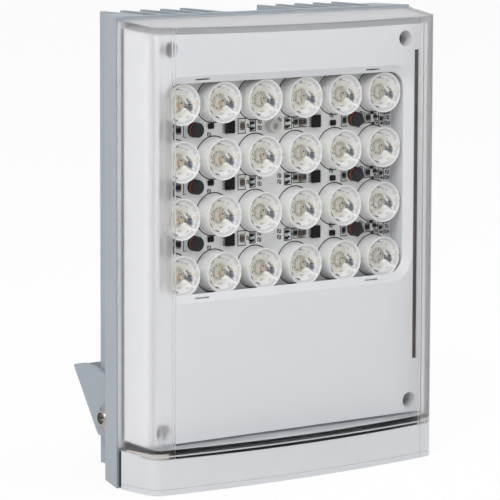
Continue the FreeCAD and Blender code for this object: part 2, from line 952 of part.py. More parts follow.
def lens_master():
    """A cone lens with a front flange, a dished middle and a well for the emitter in its foot."""
    front = s.lens_recess - s.cup_height
    flange_back = front + s.lens_flange
    rear = -s.cup_floor
    return turned(
        "lens_master",
        [
            (s.lens_well_radius, rear),
            (s.lens_foot_radius, rear),
            (s.lens_waist, flange_back),
            (s.cup_bore - s.lens_gap, flange_back),
            (s.cup_bore - s.lens_gap, front),
            (s.lens_dish_radius, front),
            (s.lens_dish_radius, front + s.lens_dish_depth),
            (as_size(0), front + s.lens_dish_depth),
            (as_size(0), rear - s.lens_well_depth),
            (s.lens_well_radius, rear - s.lens_well_depth),
        ],
    )


def on_board(name, master, places):
    """Copies of a board part, standing on the board's face."""
    copies = [
        placed("%s_%d" % (name, i), master, x, board_face, z) for i, (x, z) in enumerate(places)
    ]
    return group(name, copies)


def centred(name, width, depth, height):
    return box(name, (-width / 2, width / 2), (-depth, as_size(0)), (-height / 2, height / 2))


def chip_master():
    case = centred("chip_case", s.chip_width, s.chip_depth, s.chip_height)
    leads = []
    for row in range(4):
        middle = s.lead_pitch * (row - 1.5)
        reach = s.chip_width / 2 + s.lead_reach
        leads.append(
            box(
                "lead_%d" % row,
                (-reach, reach),
                (-s.lead_depth, as_size(0)),
                (middle - s.lead_width / 2, middle + s.lead_width / 2),
            )
        )
    return fuse("chip_master", case, *leads)


def coil_master():
    cheek = s.coil_cheek
    return turned(
        "coil_master",
        [
            (as_size(0), as_size(0)),
            (s.coil_radius, as_size(0)),
            (s.coil_radius, -cheek),
            (s.coil_core, -cheek),
            (s.coil_core, cheek - s.coil_height),
            (s.coil_radius, cheek - s.coil_height),
            (s.coil_radius, -s.coil_height),
            (as_size(0), -s.coil_height),
        ],
    )


def board_parts():
    """The small parts between the rows of lenses, alike in each of the three gaps."""
    gaps = [board_centre + s.lens_pitch_up * step for step in (1, 0, -1)]

    def spread(places):
        return [(x, gap + z) for gap in gaps for x, z in places]

    coils = [(-s.coil_across_left, s.coil_rise), (s.coil_across_right, s.coil_rise)]
    on_board("board_coils", coil_master(), spread(coils))
    chips = [(-s.chip_across_left, s.chip_rise), (s.chip_across_right, s.chip_rise)]
    on_board("driver_chips", chip_master(), spread(chips))
    diode = centred("diode_master", s.diode_width, s.diode_depth, s.diode_height)
    diodes = [
        (-s.diode_across_left, s.diode_rise_left),
        (s.diode_across_right, -s.diode_drop_right),
    ]
    on_board("diodes", diode, spread(diodes))
    capacitor = centred(
        "capacitor_master", s.capacitor_width, s.capacitor_depth, s.capacitor_height
    )
    across = (
        -s.capacitor_across_outer,
        -s.capacitor_across_left,
        s.capacitor_across_right,
        s.capacitor_across_outer,
    )
    on_board("capacitors", capacitor, spread([(x, s.capacitor_rise) for x in across]))
    resistor = centred("resistor_master", s.resistor_width, s.resistor_depth, s.resistor_height)
    pairs = [
        (x, s.pair_rise + s.resistor_pitch * step / 2)
        for x in (-s.pair_across_left, s.pair_across_right)
        for step in (-1, 1)
    ]
    threes = [
        (x, s.resistor_pitch * step)
        for x in (-s.three_across, s.three_across)
        for step in (-1, 0, 1)
    ]
    on_board("resistors", resistor, spread(pairs + threes))


def screw_along_y(name, place, head, shank, seat, length):
    """A cap screw whose head lies ahead of its seat. Sizes are (radius, depth) pairs."""
    x, z = place
    front = seat - head[1]
    top = cylinder(name + "_head", "y", (x, z), head[0], (front, seat))
    stem = cylinder(name + "_stem", "y", (x, z), shank, (seat, seat + length))
    socket = cylinder(
        name + "_socket", "y", (x, z), head[0] / 2, (front - 1, front + head[1] / 2)
    )
    return cut(name, fuse(name + "_blank", top, stem), socket)


def emitter_board():
    half = board_half
    hole = s.board_screw_radius + s.screw_gap
    flat_board(
        "led_board",
        (-half, half),
        (board_face, board_back),
        (board_low, board_high),
        board_screws,
        hole,
    )
    margin = s.pad_margin
    flat_board(
        "thermal_pad",
        (margin - half, half - margin),
        (board_back, pad_face),
        (board_low + margin, board_high - margin),
        board_screws,
        hole,
    )
    cup = cup_master()
    lens = lens_master()
    emitter = centred("emitter_master", s.emitter_width, s.emitter_depth, s.emitter_width)
    rows = lens_places()
    number = 0
    for row, places in enumerate(rows, 1):
        on_board("lens_cups_row_%d" % row, cup, places)
        for x, z in places:
            number += 1
            placed("lens_%02d" % number, lens, x, board_face, z)
    on_board("led_emitters", emitter, [place for row in rows for place in row])
    head = (s.board_head_radius, s.board_head_depth)
    screws = [
        screw_along_y(
            "board_screw_%d" % i, place, head, s.board_screw_radius, board_face,
            s.board_screw_length
        )
        for i, place in enumerate(board_screws)
    ]
    group("board_screws", screws)


def driver_bay():
    """The driver board behind the blank part of the bezel, and the terminals beside it."""
    right = driver_left + s.driver_width
    top = s.driver_low + s.driver_height
    back = plate_face - s.driver_post
    face = back - s.board_depth
    box("driver_board", (driver_left, right), (face, back), (s.driver_low, top))
    choke = cylinder(
        "choke",
        "y",
        (driver_left + s.choke_inset, top - s.choke_inset),
        s.choke_radius,
        (face - s.choke_height, face),
    )
    cans = [
        cylinder(
            "reservoir_%d" % i,
            "y",
            (right - s.reservoir_radius * 2, s.driver_low + s.reservoir_rise + s.reservoir_pitch * i),
            s.reservoir_radius,
            (face - s.reservoir_height, face),
        )
        for i in range(2)
    ]
    group("driver_parts", [choke] + cans)
    poles = 4
    width = s.terminal_pitch * poles
    block = box(
        "terminal_case",
        (s.terminal_left, s.terminal_left + width),
        (plate_face - s.terminal_depth, plate_face),
        (s.terminal_low, s.terminal_low + s.terminal_height),
    )
    holes = []
    for pole in range(poles):
        middle = s.terminal_left + s.terminal_pitch * (pole + 0.5)
        wire = s.terminal_hole
        holes.append(
            box(
                "wire_way_%d" % pole,
                (middle - wire / 2, middle + wire / 2),
                (plate_face - wire - s.terminal_floor, plate_face - s.terminal_floor),
                (s.terminal_low - 1, s.terminal_low + s.terminal_height / 2),
            )
        )
        screw = (middle, s.terminal_low + s.terminal_height * 0.6)
        front = plate_face - s.terminal_depth
        holes.append(
            cylinder("clamp_way_%d" % pole, "y", screw, s.terminal_hole * 0.7, (front - 1, front + 2))
        )
    cut("terminal_block", block, *holes)


def cable_gland():
    """The cable entry at the back: collar, dome nut with its seal, and the lock nut inside."""
    z = s.gland_height
    collar_end = plate_back + s.gland_collar
    thread_end = plate_face - s.gland_thread_end
    stem = cylinder("gland_stem", "y", (0, z), s.gland_thread, (thread_end, plate_back))
    collar = hexagon("gland_collar_hex", (0, z), s.gland_collar_radius, (plate_back, collar_end))
    neck_end = collar_end + s.gland_dome / 2
    neck = cylinder("gland_neck", "y", (0, z), s.gland_mouth_radius, (collar_end, neck_end))
    bore = cylinder("gland_way", "y", (0, z), s.gland_bore, (thread_end - 1, neck_end + 1))
    cut("cable_gland", fuse("gland_blank", stem, collar, neck), bore)
    dome = turned(
        "dome_shell",
        [
            (s.gland_mouth_radius + s.screw_gap, 0),
            (s.gland_dome_radius, 0),
            (s.gland_dome_radius, s.gland_dome * 0.55),
            (s.gland_mouth_radius, s.gland_dome),
            (s.gland_bore, s.gland_dome),
            (s.gland_bore, s.gland_dome / 2 + s.screw_gap),
            (s.gland_mouth_radius + s.screw_gap, s.gland_dome / 2 + s.screw_gap),
        ],
    )
    placed("gland_dome_nut", dome, 0, collar_end, z)
    nut = hexagon(
        "lock_nut_hex", (0, z), s.gland_nut_radius, (plate_face - s.gland_nut, plate_face)
    )
    nut_hole = cylinder(
        "lock_nut_hole",
        "y",
        (0, z),
        s.gland_thread + s.screw_gap / 2,
        (plate_face - s.gland_nut - 1, plate_face + 1),
    )
    cut("gland_lock_nut", nut, nut_hole)


def vent_plug():
    """A pressure vent screwed into the plate above the gland."""
    plug = turned(
        "vent_shape",
        [
            (as_size(0), -s.plate_depth - s.vent_thread_end),
            (s.vent_thread, -s.plate_depth - s.vent_thread_end),
            (s.vent_thread, as_size(0)),
            (s.vent_head_radius, as_size(0)),
            (s.vent_head_radius, s.vent_head * 0.6),
            (s.vent_head_radius * 0.7, s.vent_head),
            (as_size(0), s.vent_head),
        ],
    )
    placed("vent_plug", plug, 0, plate_back, s.vent_height)


def bracket():
    """A folded sheet: a web with its fixing holes and two ears on the pivot screws.

    It is drawn with the pivot at the origin and the web upright, then tilted and placed."""
    fold = body("bracket_fold")
    outer = ear_outer
    inner = ear_inner
    back = s.web_ahead
    bend = s.bend_radius
    bend_out = bend + s.sheet
    front = -s.ear_radius
    low = -s.ear_radius
    outline = [
        (-outer, front),
        (-inner, front),
        (-inner, back - bend_out, -bend),
        (bend - inner, back - s.sheet),
        (inner - bend, back - s.sheet, -bend),
        (inner, back - bend_out),
        (inner, front),
        (outer, front),
        (outer, back - bend_out, bend_out),
        (outer - bend_out, back),
        (bend_out - outer, back, bend_out),
        (-outer, back - bend_out),
    ]
    section = sketch(fold, "fold_outline", "XY", low, outline)
    pad(fold, "fold_height", section, s.web_top - low)
    ears = body("bracket_ears")
    tangent = s.ear_radius / (as_size(2).root())
    outline = [
        (s.web_ahead, s.ear_foot),
        (s.web_ahead, s.web_top, s.ear_crown_radius),
        (s.ear_crown_across, s.ear_crown_up),
        (-s.ear_radius, s.ear_shoulder),
        (-s.ear_radius, as_size(0), s.ear_radius),
        (tangent, -tangent),
    ]
    section = sketch(ears, "ear_outline", "YZ", 0, outline)
    pad(ears, "ear_width", section, outer * 2 + 2, midplane=True)
    blank = common("bracket_blank", fold, ears)
    relief = box(
        "web_relief",
        (-inner, inner),
        (front - 1, back + 1),
        (low - 1, s.web_low),
    )
    pivot_hole = cylinder(
        "ear_hole", "x", (0, 0), s.pivot_radius + s.pivot_gap, (-outer - 1, outer + 1)
    )
    through = (back - s.sheet - 1, back + 1)
    middle = (s.web_low + s.web_top) / 2
    holes = [cylinder("web_centre_hole", "y", (0, middle), s.web_bore, through)]
    for side, word in ((-1, "left"), (1, "right")):
        place = (side * s.web_hole_spacing / 2, middle)
        holes.append(cylinder(word + "_web_hole", "y", place, s.web_hole, through))
    folded = cut("bracket", blank, relief, pivot_hole, *holes)
    put(folded, 0, pivot_y, s.pivot_height, turn=FreeCAD.Rotation(FreeCAD.Vector(1, 0, 0), -1))
    folded.setExpression("Placement.Rotation.Angle", (-s.bracket_tilt).formula)


def pivots():
    """The button-head screws that clamp the ears, each with a washer behind the ear."""
    crown = s.button_crown
    button = turned(
        "button_shape",
        [
            (as_size(0), s.pivot_length + s.washer_depth + s.sheet - s.screw_gap),
            (s.pivot_radius, s.pivot_length + s.washer_depth + s.sheet - s.screw_gap),
            (s.pivot_radius, as_size(0)),
            (s.button_radius, as_size(0)),
            (s.button_radius, -s.button_height * 0.2, s.button_radius * 1.1),
            (crown, -s.button_height),
            (s.socket_radius, -s.button_height),
            (s.socket_radius, s.socket_depth - s.button_height),
            (as_size(0), s.socket_depth - s.button_height),
        ],
    )
    left = group("pivot_screw_left", [button])
    turn = FreeCAD.Rotation(FreeCAD.Vector(0, 0, 1), -90)
    put(left, -ear_outer, pivot_y, s.pivot_height, turn=turn)
    washer = cylinder(
        "washer_blank",
        "x",
        (pivot_y, s.pivot_height),
        s.washer_radius,
        (-ear_inner, -fin_outer),
    )
    hole = cylinder(
        "washer_hole",
        "x",
        (pivot_y, s.pivot_height),
        s.pivot_radius + s.screw_gap,
        (-ear_inner - 1, -fin_outer + 1),
    )
    left_washer = cut("washer_left", washer, hole)
    mirrored("pivot_screw_right", left)
    mirrored("washer_right", left_washer)


def seals():
    half = plate_half - s.gasket_inset
    frame_ring(
        "gasket",
        half,
        s.cover_foot + s.gasket_inset,
        cover_top_rear - s.gasket_inset,
        s.gasket_width,
        (cover_rear, plate_face),
    )
    rear = plate_face - s.foot_seal_depth
    frame_ring(
        "foot_seal",
        cover_half(rear) - s.foot_seal_inset,
        s.foot_seal_inset,
        s.cover_foot - s.lip_height - s.foot_seal_inset,
        s.foot_seal_width,
        (rear, plate_face),
    )


def small_screws():
    head = (s.bezel_head_radius, s.bezel_head_depth)
    seat = bezel_face + s.recess_depth
    screws = [
        screw_along_y(
            "bezel_screw_%d" % i, place, head, s.board_screw_radius, seat, s.bezel_screw_length
        )
        for i, place in enumerate(bezel_screws)
    ]
    group("bezel_screws", screws)
    screws = []
    for i, place in enumerate(cap_screw_places()):
        seat = s.cap_head_depth + s.cap_head_sink
        under = s.cap_head_sink
        top = cylinder("cap_head_%d" % i, "z", place, s.cap_head_radius, (under, seat))
        end = s.cap_wall + s.lug_height - s.screw_end_gap
        stem = cylinder("cap_stem_%d" % i, "z", place, s.cap_screw_radius, (seat, end))
        cross = cylinder(
            "cap_drive_%d" % i, "z", place, s.cap_head_radius / 2, (under - 1, under + s.drive_depth)
        )
        screws.append(cut("cap_screw_%d" % i, fuse("cap_screw_blank_%d" % i, top, stem), cross))
    group("cap_screws", screws)


NODES = (
    ["housing", "gasket", "foot_seal", "clear_cover", "lower_cap", "bezel"]
    + ["led_board", "thermal_pad", "led_emitters", "board_screws", "bezel_screws", "cap_screws"]
    + ["lens_cups_row_%d" % row for row in range(1, ROWS + 1)]
    + ["lens_%02d" % number for number in range(1, ROWS * COLUMNS + 1)]
    + ["board_coils", "driver_chips", "diodes", "capacitors", "resistors"]
    + ["driver_board", "driver_parts", "terminal_block"]
    + ["cable_gland", "gland_dome_nut", "gland_lock_nut", "vent_plug"]
    + ["bracket", "pivot_screw_left", "pivot_screw_right", "washer_left", "washer_right"]
)


def export():
    """Writes each node after every object has been found sound."""
    doc.recompute()
    for item in doc.Objects:
        if "Invalid" in item.State or "Error" in item.State:
            raise RuntimeError("%s failed: %s" % (item.Name, item.State))
    os.makedirs("parts", exist_ok=True)
    for name in NODES:
        piece = doc.getObject(name)
        piece.Label = name
        if piece.Shape.isNull() or not piece.Shape.isValid():
            raise RuntimeError("%s has no sound shape" % name)
        piece.Shape.exportStep("parts/%s.step" % name)


housing()
seals()
clear_cover()
lower_cap()
bezel()
emitter_board()
board_parts()
driver_bay()
small_screws()
cable_gland()
vent_plug()
bracket()
pivots()
export()
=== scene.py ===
import math
import random

import bmesh
import bpy
from mathutils import Matrix, Vector


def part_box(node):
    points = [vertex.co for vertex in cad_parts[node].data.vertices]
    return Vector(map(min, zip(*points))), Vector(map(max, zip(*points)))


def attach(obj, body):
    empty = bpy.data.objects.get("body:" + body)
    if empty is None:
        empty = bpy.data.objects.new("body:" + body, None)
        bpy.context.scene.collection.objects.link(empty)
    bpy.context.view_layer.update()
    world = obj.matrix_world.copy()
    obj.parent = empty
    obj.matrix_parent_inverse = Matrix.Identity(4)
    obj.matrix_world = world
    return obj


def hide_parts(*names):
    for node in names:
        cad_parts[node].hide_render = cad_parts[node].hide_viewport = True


# White light illuminator. Metres, in the CAD frame: X to the right, Y to the back, Z up.

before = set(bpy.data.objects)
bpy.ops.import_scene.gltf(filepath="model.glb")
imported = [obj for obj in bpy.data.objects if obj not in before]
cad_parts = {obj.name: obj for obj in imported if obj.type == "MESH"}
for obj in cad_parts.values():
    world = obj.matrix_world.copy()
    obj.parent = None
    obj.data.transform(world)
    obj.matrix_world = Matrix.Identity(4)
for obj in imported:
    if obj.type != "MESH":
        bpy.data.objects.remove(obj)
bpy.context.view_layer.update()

MM = 0.001
BODY = "housing"
SMOOTH_ANGLE = math.radians(32)


def row_of_lens_boxes():
    """The lowest and highest corners of the twenty-four lenses, by number."""
    return [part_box("lens_%02d" % number) for number in range(1, 25)]


def centre(corners):
    return (corners[0] + corners[1]) / 2


# Places read from the frame.
PLATE_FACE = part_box("gasket")[1].y
COVER_LOW, COVER_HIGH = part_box("clear_cover")
BOARD_LOW, BOARD_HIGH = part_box("led_board")
BOARD_FACE = BOARD_LOW.y
BEZEL_LOW, BEZEL_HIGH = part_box("bezel")
LENS_BOXES = row_of_lens_boxes()
GRID_CENTRE = sum((centre(corners) for corners in LENS_BOXES), Vector()) / len(LENS_BOXES)

# The cover's own sizes.
COVER_WALL = 3.0 * MM
LIP_DEPTH = 1.3 * MM
LIP_HEIGHT = 0.4 * MM
COVER_REAR_WIDTH = 141.9 * MM
COVER_FRONT_WIDTH = 136.7 * MM
CORNER_AHEAD = 21.3 * MM
FRONT_BOW = 4.9 * MM
CORNER_RADIUS = 5.5 * MM
PANE_HALF = 60.9 * MM
INNER_CORNER_RADIUS = 1.5 * MM
COVER_TOP_REAR = 180.05 * MM
COVER_TOP_FRONT = 177.55 * MM
COVER_FOOT_REAR = 15.4 * MM
COVER_FOOT_FRONT = 13.5 * MM
SLOT_MIDDLE = 62.65 * MM
SLOT_WIDTH = 2.44 * MM
SLOT_LOW = 39.5 * MM
SLOT_HIGH = 164.4 * MM
CAP_WALL = 2.5 * MM
CAP_SEAM = 0.4 * MM
CAP_REAR = 2.5 * MM

# Camera, as solved from the photograph.
CAMERA_YAW = -0.64585
CAMERA_PITCH = 0.116236
CAMERA_ROLL = 0.004445
CAMERA_DISTANCE = 1.255
CAMERA_FOCAL_PX = 3214.34
CAMERA_CENTRE_PX = (34.155, -67.493)
PHOTO_SIDE_PX = 500
SENSOR = 36.0

WORLD_BRIGHT = 0.8
WORLD_DARK = 0.22


# Tools for the bench


def only(piece):
    """Selects one piece alone and makes it the active one."""
    bpy.ops.object.select_all(action="DESELECT")
    piece.select_set(True)
    bpy.context.view_layer.objects.active = piece
    return piece


def open_up(piece, kind="FACE"):
    """Goes into edit mode with nothing selected."""
    only(piece)
    bpy.ops.object.mode_set(mode="EDIT")
    bpy.ops.mesh.select_mode(type=kind)
    bpy.ops.mesh.select_all(action="DESELECT")


def close_up(piece):
    """Leaves edit mode with the faces pointing outwards."""
    bpy.ops.mesh.select_all(action="SELECT")
    bpy.ops.mesh.remove_doubles(threshold=2e-6)
    bpy.ops.mesh.normals_make_consistent(inside=False)
    bpy.ops.object.mode_set(mode="OBJECT")
    return piece


def middle_of(item):
    return sum((vertex.co for vertex in item.verts), Vector()) / len(item.verts)


def pick(piece, kind, test):
    """Adds to the selection each vertex, edge or face that passes the test."""
    work = bmesh.from_edit_mesh(piece.data)
    for item in getattr(work, kind):
        if test(item):
            item.select_set(True)
    bmesh.update_edit_mesh(piece.data)


def settle(piece, name):
    """Puts a piece's place into its mesh and gives it its name."""
    only(piece)
    bpy.ops.object.transform_apply(location=True, rotation=True, scale=True)
    piece.name = name
    piece.data.name = name
    return piece


def apply_modifier(piece, kind, **values):
    only(piece)
    modifier = piece.modifiers.new(kind.lower(), kind)
    for key, value in values.items():
        setattr(modifier, key, value)
    bpy.ops.object.modifier_apply(modifier=modifier.name)
    return piece


def soften(piece, width, segments=2, angle=SMOOTH_ANGLE):
    """Rounds the sharp edges by a width, and shades the rest smooth."""
    if width:
        apply_modifier(
            piece,
            "BEVEL",
            width=width,
            segments=segments,
            limit_method="ANGLE",
            angle_limit=angle,
            use_clamp_overlap=True,
            miter_outer="MITER_ARC",
        )
    only(piece)
    bpy.ops.object.shade_smooth_by_angle(angle=angle)
    return apply_modifier(piece, "WEIGHTED_NORMAL", keep_sharp=True, weight=100)


def combine(piece, other, operation):
    """Joins, cuts or keeps what two solids share, and removes the second one."""
    apply_modifier(piece, "BOOLEAN", operation=operation, object=other, solver="EXACT")
    bpy.data.objects.remove(other)
    return piece


def block(name, low, high):
    """A block between two corners."""
    low, high = Vector(low), Vector(high)
    bpy.ops.object.select_all(action="DESELECT")
    bpy.ops.mesh.primitive_cube_add(size=1, location=(low + high) / 2, scale=high - low)
    return settle(bpy.context.object, name)


def rod(name, start, end, radius, sides=32):
    """A round or many-sided rod between two points."""
    start, end = Vector(start), Vector(end)
    along = end - start
    turn = along.to_track_quat("Z", "Y").to_euler()
    bpy.ops.object.select_all(action="DESELECT")
    bpy.ops.mesh.primitive_cylinder_add(
        vertices=sides, radius=radius, depth=along.length, location=(start + end) / 2, rotation=turn
    )
    return settle(bpy.context.object, name)


def spun(name, outline, steps=48):
    """A turned piece about the Y axis through the origin, from (radius, y) points."""
    bpy.ops.object.select_all(action="DESELECT")
    bpy.ops.mesh.primitive_plane_add(size=MM, location=(0, 0, 0))
    piece = bpy.context.object
    open_up(piece, "VERT")
    bpy.ops.mesh.select_all(action="SELECT")
    bpy.ops.mesh.merge(type="CENTER")
    start = Vector((outline[0][0], outline[0][1], 0))
    bpy.ops.transform.translate(value=start)
    for radius, place in outline[1:]:
        following = Vector((radius, place, 0))
        bpy.ops.mesh.extrude_vertices_move(TRANSFORM_OT_translate={"value": following - start})
        start = following
    bpy.ops.mesh.select_all(action="SELECT")
    bpy.ops.mesh.spin(steps=steps, angle=math.tau, center=(0, 0, 0), axis=(0, 1, 0))
    close_up(piece)
    return settle(piece, name)


def placed_copy(master, place, name, turn=0.0):
    """A copy of a finished piece with its own mesh, turned about Y and moved to a place."""
    copy = master.copy()
    copy.data = master.data.copy()
    copy.data.transform(Matrix.Translation(place) @ Matrix.Rotation(turn, 4, "Y"))
    bpy.context.scene.collection.objects.link(copy)
    copy.name = name
    copy.data.name = name
    return copy


def joined(pieces, name):
    """One piece made of several."""
    bpy.ops.object.select_all(action="DESELECT")
    for piece in pieces:
        piece.select_set(True)
    bpy.context.view_layer.objects.active = pieces[0]
    if len(pieces) > 1:
        bpy.ops.object.join()
    pieces[0].name = name
    pieces[0].data.name = name
    return pieces[0]


def paint(piece, *materials):
    """Gives a piece its materials, the first one all over."""
    piece.data.materials.clear()
    for material in materials:
        piece.data.materials.append(material)
    for face in piece.data.polygons:
        face.material_index = 0
    return piece


def recolour(piece, index, test):
    """Gives the faces that pass the test the piece's material of that number."""
    for face in piece.data.polygons:
        if test(face):
            face.material_index = index
    return piece


def stands_for(piece, slot, *nodes, body=BODY):
    """Says which CAD nodes a piece replaces and what it rides on; the material slot is not used."""
    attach(piece, body)
    if nodes:
        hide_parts(*nodes)
    return piece


def refined(node, name, width, material, slot, body=BODY, segments=2):
    """A finished copy of a CAD node: its loose triangles merged and its edges rounded."""
    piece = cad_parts[node].copy()
    piece.data = piece.data.copy()
    for key in list(piece.keys()):
        del piece[key]
    bpy.context.scene.collection.objects.link(piece)
    piece.parent = None
    open_up(piece)
    bpy.ops.mesh.select_all(action="SELECT")
    bpy.ops.mesh.remove_doubles(threshold=5e-6)
    close_up(piece)
    piece.name = name
    piece.data.name = name
    soften(piece, width, segments)
    paint(piece, material)
    return stands_for(piece, slot, node, body=body)


def solids_in(node):
    """The lowest and highest corners of each separate solid in a CAD node."""
    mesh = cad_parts[node].data
    owner = {}

    def top(key):
        while owner[key] != key:
            key = owner[key]
        return key

    keys = [tuple(round(value * 1e6) for value in vertex.co) for vertex in mesh.vertices]
    for key in keys:
        owner.setdefault(key, key)
    for face in mesh.polygons:
        first = top(keys[face.vertices[0]])
        for index in face.vertices[1:]:
            owner[top(keys[index])] = first
    groups = {}
    for key, vertex in zip(keys, mesh.vertices):
        groups.setdefault(top(key), []).append(vertex.co)
    corners = []
    for points in groups.values():
        low = Vector([min(point[i] for point in points) for i in range(3)])
        high = Vector([max(point[i] for point in points) for i in range(3)])
        corners.append((low, high))
    return sorted(corners, key=lambda pair: (round(pair[0].z, 4), round(pair[0].x, 4)))


# Materials


def linear(red, green, blue):
    """An sRGB colour of 0 to 255 as the linear colour that a shader takes."""

    def channel(value):
        value /= 255
        return value / 12.92 if value <= 0.04045 else ((value + 0.055) / 1.055) ** 2.4

    return (channel(red), channel(green), channel(blue), 1.0)


def grain_group():
    """Fine mottling of a surface: two colours, two roughnesses and a height."""
    group = bpy.data.node_groups.new("surface grain", "ShaderNodeTree")
    sockets = (
        ("Colour", "NodeSocketColor"),
        ("Second Colour", "NodeSocketColor"),
        ("Scale", "NodeSocketFloat"),
        ("Roughness Low", "NodeSocketFloat"),
        ("Roughness High", "NodeSocketFloat"),
    )
    for name, kind in sockets:
        group.interface.new_socket(name, in_out="INPUT", socket_type=kind)
    for name, kind in (
        ("Colour", "NodeSocketColor"),
        ("Roughness", "NodeSocketFloat"),
        ("Height", "NodeSocketFloat"),
    ):
        group.interface.new_socket(name, in_out="OUTPUT", socket_type=kind)
    nodes, links = group.nodes, group.links
    given = nodes.new("NodeGroupInput")
    result = nodes.new("NodeGroupOutput")
    place = nodes.new("ShaderNodeTexCoord")
    fine = nodes.new("ShaderNodeTexNoise")
    fine.inputs["Detail"].default_value = 4
    broad = nodes.new("ShaderNodeTexNoise")
    broad.inputs["Detail"].default_value = 2
    smaller = nodes.new("ShaderNodeMath")
    smaller.operation = "MULTIPLY"
    smaller.inputs[1].default_value = 0.04
    links.new(given.outputs["Scale"], smaller.inputs[0])
    links.new(given.outputs["Scale"], fine.inputs["Scale"])
    links.new(smaller.outputs[0], broad.inputs["Scale"])
    links.new(place.outputs["Object"], fine.inputs["Vector"])
    links.new(place.outputs["Object"], broad.inputs["Vector"])
    colour = nodes.new("ShaderNodeMix")
    colour.data_type = "RGBA"
    links.new(broad.outputs["Fac"], colour.inputs["Factor"])
    links.new(given.outputs["Colour"], colour.inputs["A"])
    links.new(given.outputs["Second Colour"], colour.inputs["B"])
    rough = nodes.new("ShaderNodeMapRange")
    rough.inputs["From Min"].default_value = 0.3
    rough.inputs["From Max"].default_value = 0.7
    links.new(fine.outputs["Fac"], rough.inputs["Value"])
    links.new(given.outputs["Roughness Low"], rough.inputs["To Min"])
    links.new(given.outputs["Roughness High"], rough.inputs["To Max"])
    links.new(colour.outputs["Result"], result.inputs["Colour"])
    links.new(rough.outputs["Result"], result.inputs["Roughness"])
    links.new(fine.outputs["Fac"], result.inputs["Height"])
    return group


GRAIN = grain_group()


def grained(name, colour, second, scale, rough, bump=0.1, depth=0.02 * MM, **sockets):
    """A material whose colour, roughness and height come from the grain group."""
    material = bpy.data.materials.new(name)
    material.use_nodes = True
    nodes, links = material.node_tree.nodes, material.node_tree.links
    shader = nodes["Principled BSDF"]
    grain = nodes.new("ShaderNodeGroup")
    grain.node_tree = GRAIN
    grain.inputs["Colour"].default_value = colour
    grain.inputs["Second Colour"].default_value = second
    grain.inputs["Scale"].default_value = scale
    grain.inputs["Roughness Low"].default_value = rough[0]
    grain.inputs["Roughness High"].default_value = rough[1]
    relief = nodes.new("ShaderNodeBump")
    relief.inputs["Strength"].default_value = bump
    relief.inputs["Distance"].default_value = depth
    links.new(grain.outputs["Colour"], shader.inputs["Base Color"])
    links.new(grain.outputs["Roughness"], shader.inputs["Roughness"])
    links.new(grain.outputs["Height"], relief.inputs["Height"])
    links.new(relief.outputs["Normal"], shader.inputs["Normal"])
    for socket, value in sockets.items():
        shader.inputs[socket.replace("_", " ")].default_value = value
    return material


def clear(name, colour, index, roughness):
    """Clear plastic that lets the lamps' light through to what is behind it."""
    material = bpy.data.materials.new(name)
    material.use_nodes = True
    nodes, links = material.node_tree.nodes, material.node_tree.links
    shader = nodes["Principled BSDF"]
    shader.inputs["Base Color"].default_value = colour
    shader.inputs["Roughness"].default_value = roughness
    shader.inputs["IOR"].default_value = index
    shader.inputs["Transmission Weight"].default_value = 1.0
    passing = nodes.new("ShaderNodeBsdfTransparent")
    passing.inputs["Color"].default_value = colour
    path = nodes.new("ShaderNodeLightPath")
    either = nodes.new("ShaderNodeMath")
    either.operation = "MAXIMUM"
    mix = nodes.new("ShaderNodeMixShader")
    links.new(path.outputs["Is Shadow Ray"], either.inputs[0])
    links.new(path.outputs["Is Diffuse Ray"], either.inputs[1])
    links.new(either.outputs[0], mix.inputs["Fac"])
    links.new(shader.outputs[0], mix.inputs[1])
    links.new(passing.outputs[0], mix.inputs[2])
    links.new(mix.outputs[0], nodes["Material Output"].inputs["Surface"])
    return material


PAINT = grained(
    "satin grey powder coat", linear(156, 165, 173), linear(149, 158, 166), 1400, (0.42, 0.5), 0.25
)
BEZEL_WHITE = grained(
    "satin white bezel plastic", linear(232, 232, 235), linear(228, 229, 232), 2600, (0.38, 0.46)
)
CAP_WHITE = grained(
    "smooth white cap plastic", linear(207, 209, 212), linear(203, 205, 208), 1200, (0.36, 0.42), 0.02
)
# A darker grey for the cap's lower rounded edge: painted shade.
CAP_PAINTED_SHADE = grained(
    "shaded cap edge", linear(170, 171, 174), linear(160, 161, 165), 1200, (0.36, 0.42), 0.02
)
# Grey for the painted shade inside the cover's walls, warm for the painted reflections in its foot.
COVER_PAINTED_SHADE = grained(
    "painted shade in the cover walls", linear(142, 141, 145), linear(132, 131, 135), 1800, (0.4, 0.5), 0.05
)
WARM_PAINTED_REFLECTION = grained(
    "warm painted reflection in the cover foot", linear(206, 198, 190), linear(176, 168, 162), 1800, (0.4, 0.5), 0.05
)
CUP_WHITE = grained(
    "white cup plastic", linear(243, 243, 241), linear(238, 238, 236), 1500, (0.2, 0.28), 0.05
)
BOARD_WHITE = grained(
    "white solder mask", linear(244, 244, 243), linear(236, 237, 237), 600, (0.3, 0.4), 0.1
)
INK = grained(
    "black board ink", linear(6, 6, 8), linear(12, 12, 14), 3000, (0.8, 0.9), Specular_IOR_Level=0.04
)
TIN = grained(
    "tinned copper", linear(190, 188, 184), linear(165, 163, 160), 2500, (0.25, 0.4), Metallic=1.0
)
STEEL = grained(
    "stainless steel", linear(178, 174, 168), linear(160, 157, 152), 1800, (0.22, 0.32), Metallic=1.0
)
BRIGHT_ZINC = grained(
    "bright zinc", linear(222, 220, 216), linear(206, 204, 200), 1800, (0.5, 0.6), Metallic=0.4
)
MOULD_BLACK = grained(
    "black moulding compound",
    linear(30, 30, 32),
    linear(24, 24, 26),
    3200,
    (0.7, 0.85),
    0.2,
    Specular_IOR_Level=0.06,
)
FERRITE = grained(
    "dark ferrite", linear(54, 56, 61), linear(44, 46, 51), 3000, (0.7, 0.8), 0.2, Specular_IOR_Level=0.08
)
COPPER = grained(
    "enamelled copper wire", linear(186, 92, 52), linear(150, 66, 36), 2500, (0.25, 0.4), Metallic=0.7
)
CERAMIC_BROWN = grained(
    "fired brown ceramic", linear(104, 84, 70), linear(84, 68, 58), 3000, (0.4, 0.5), 0.15
)
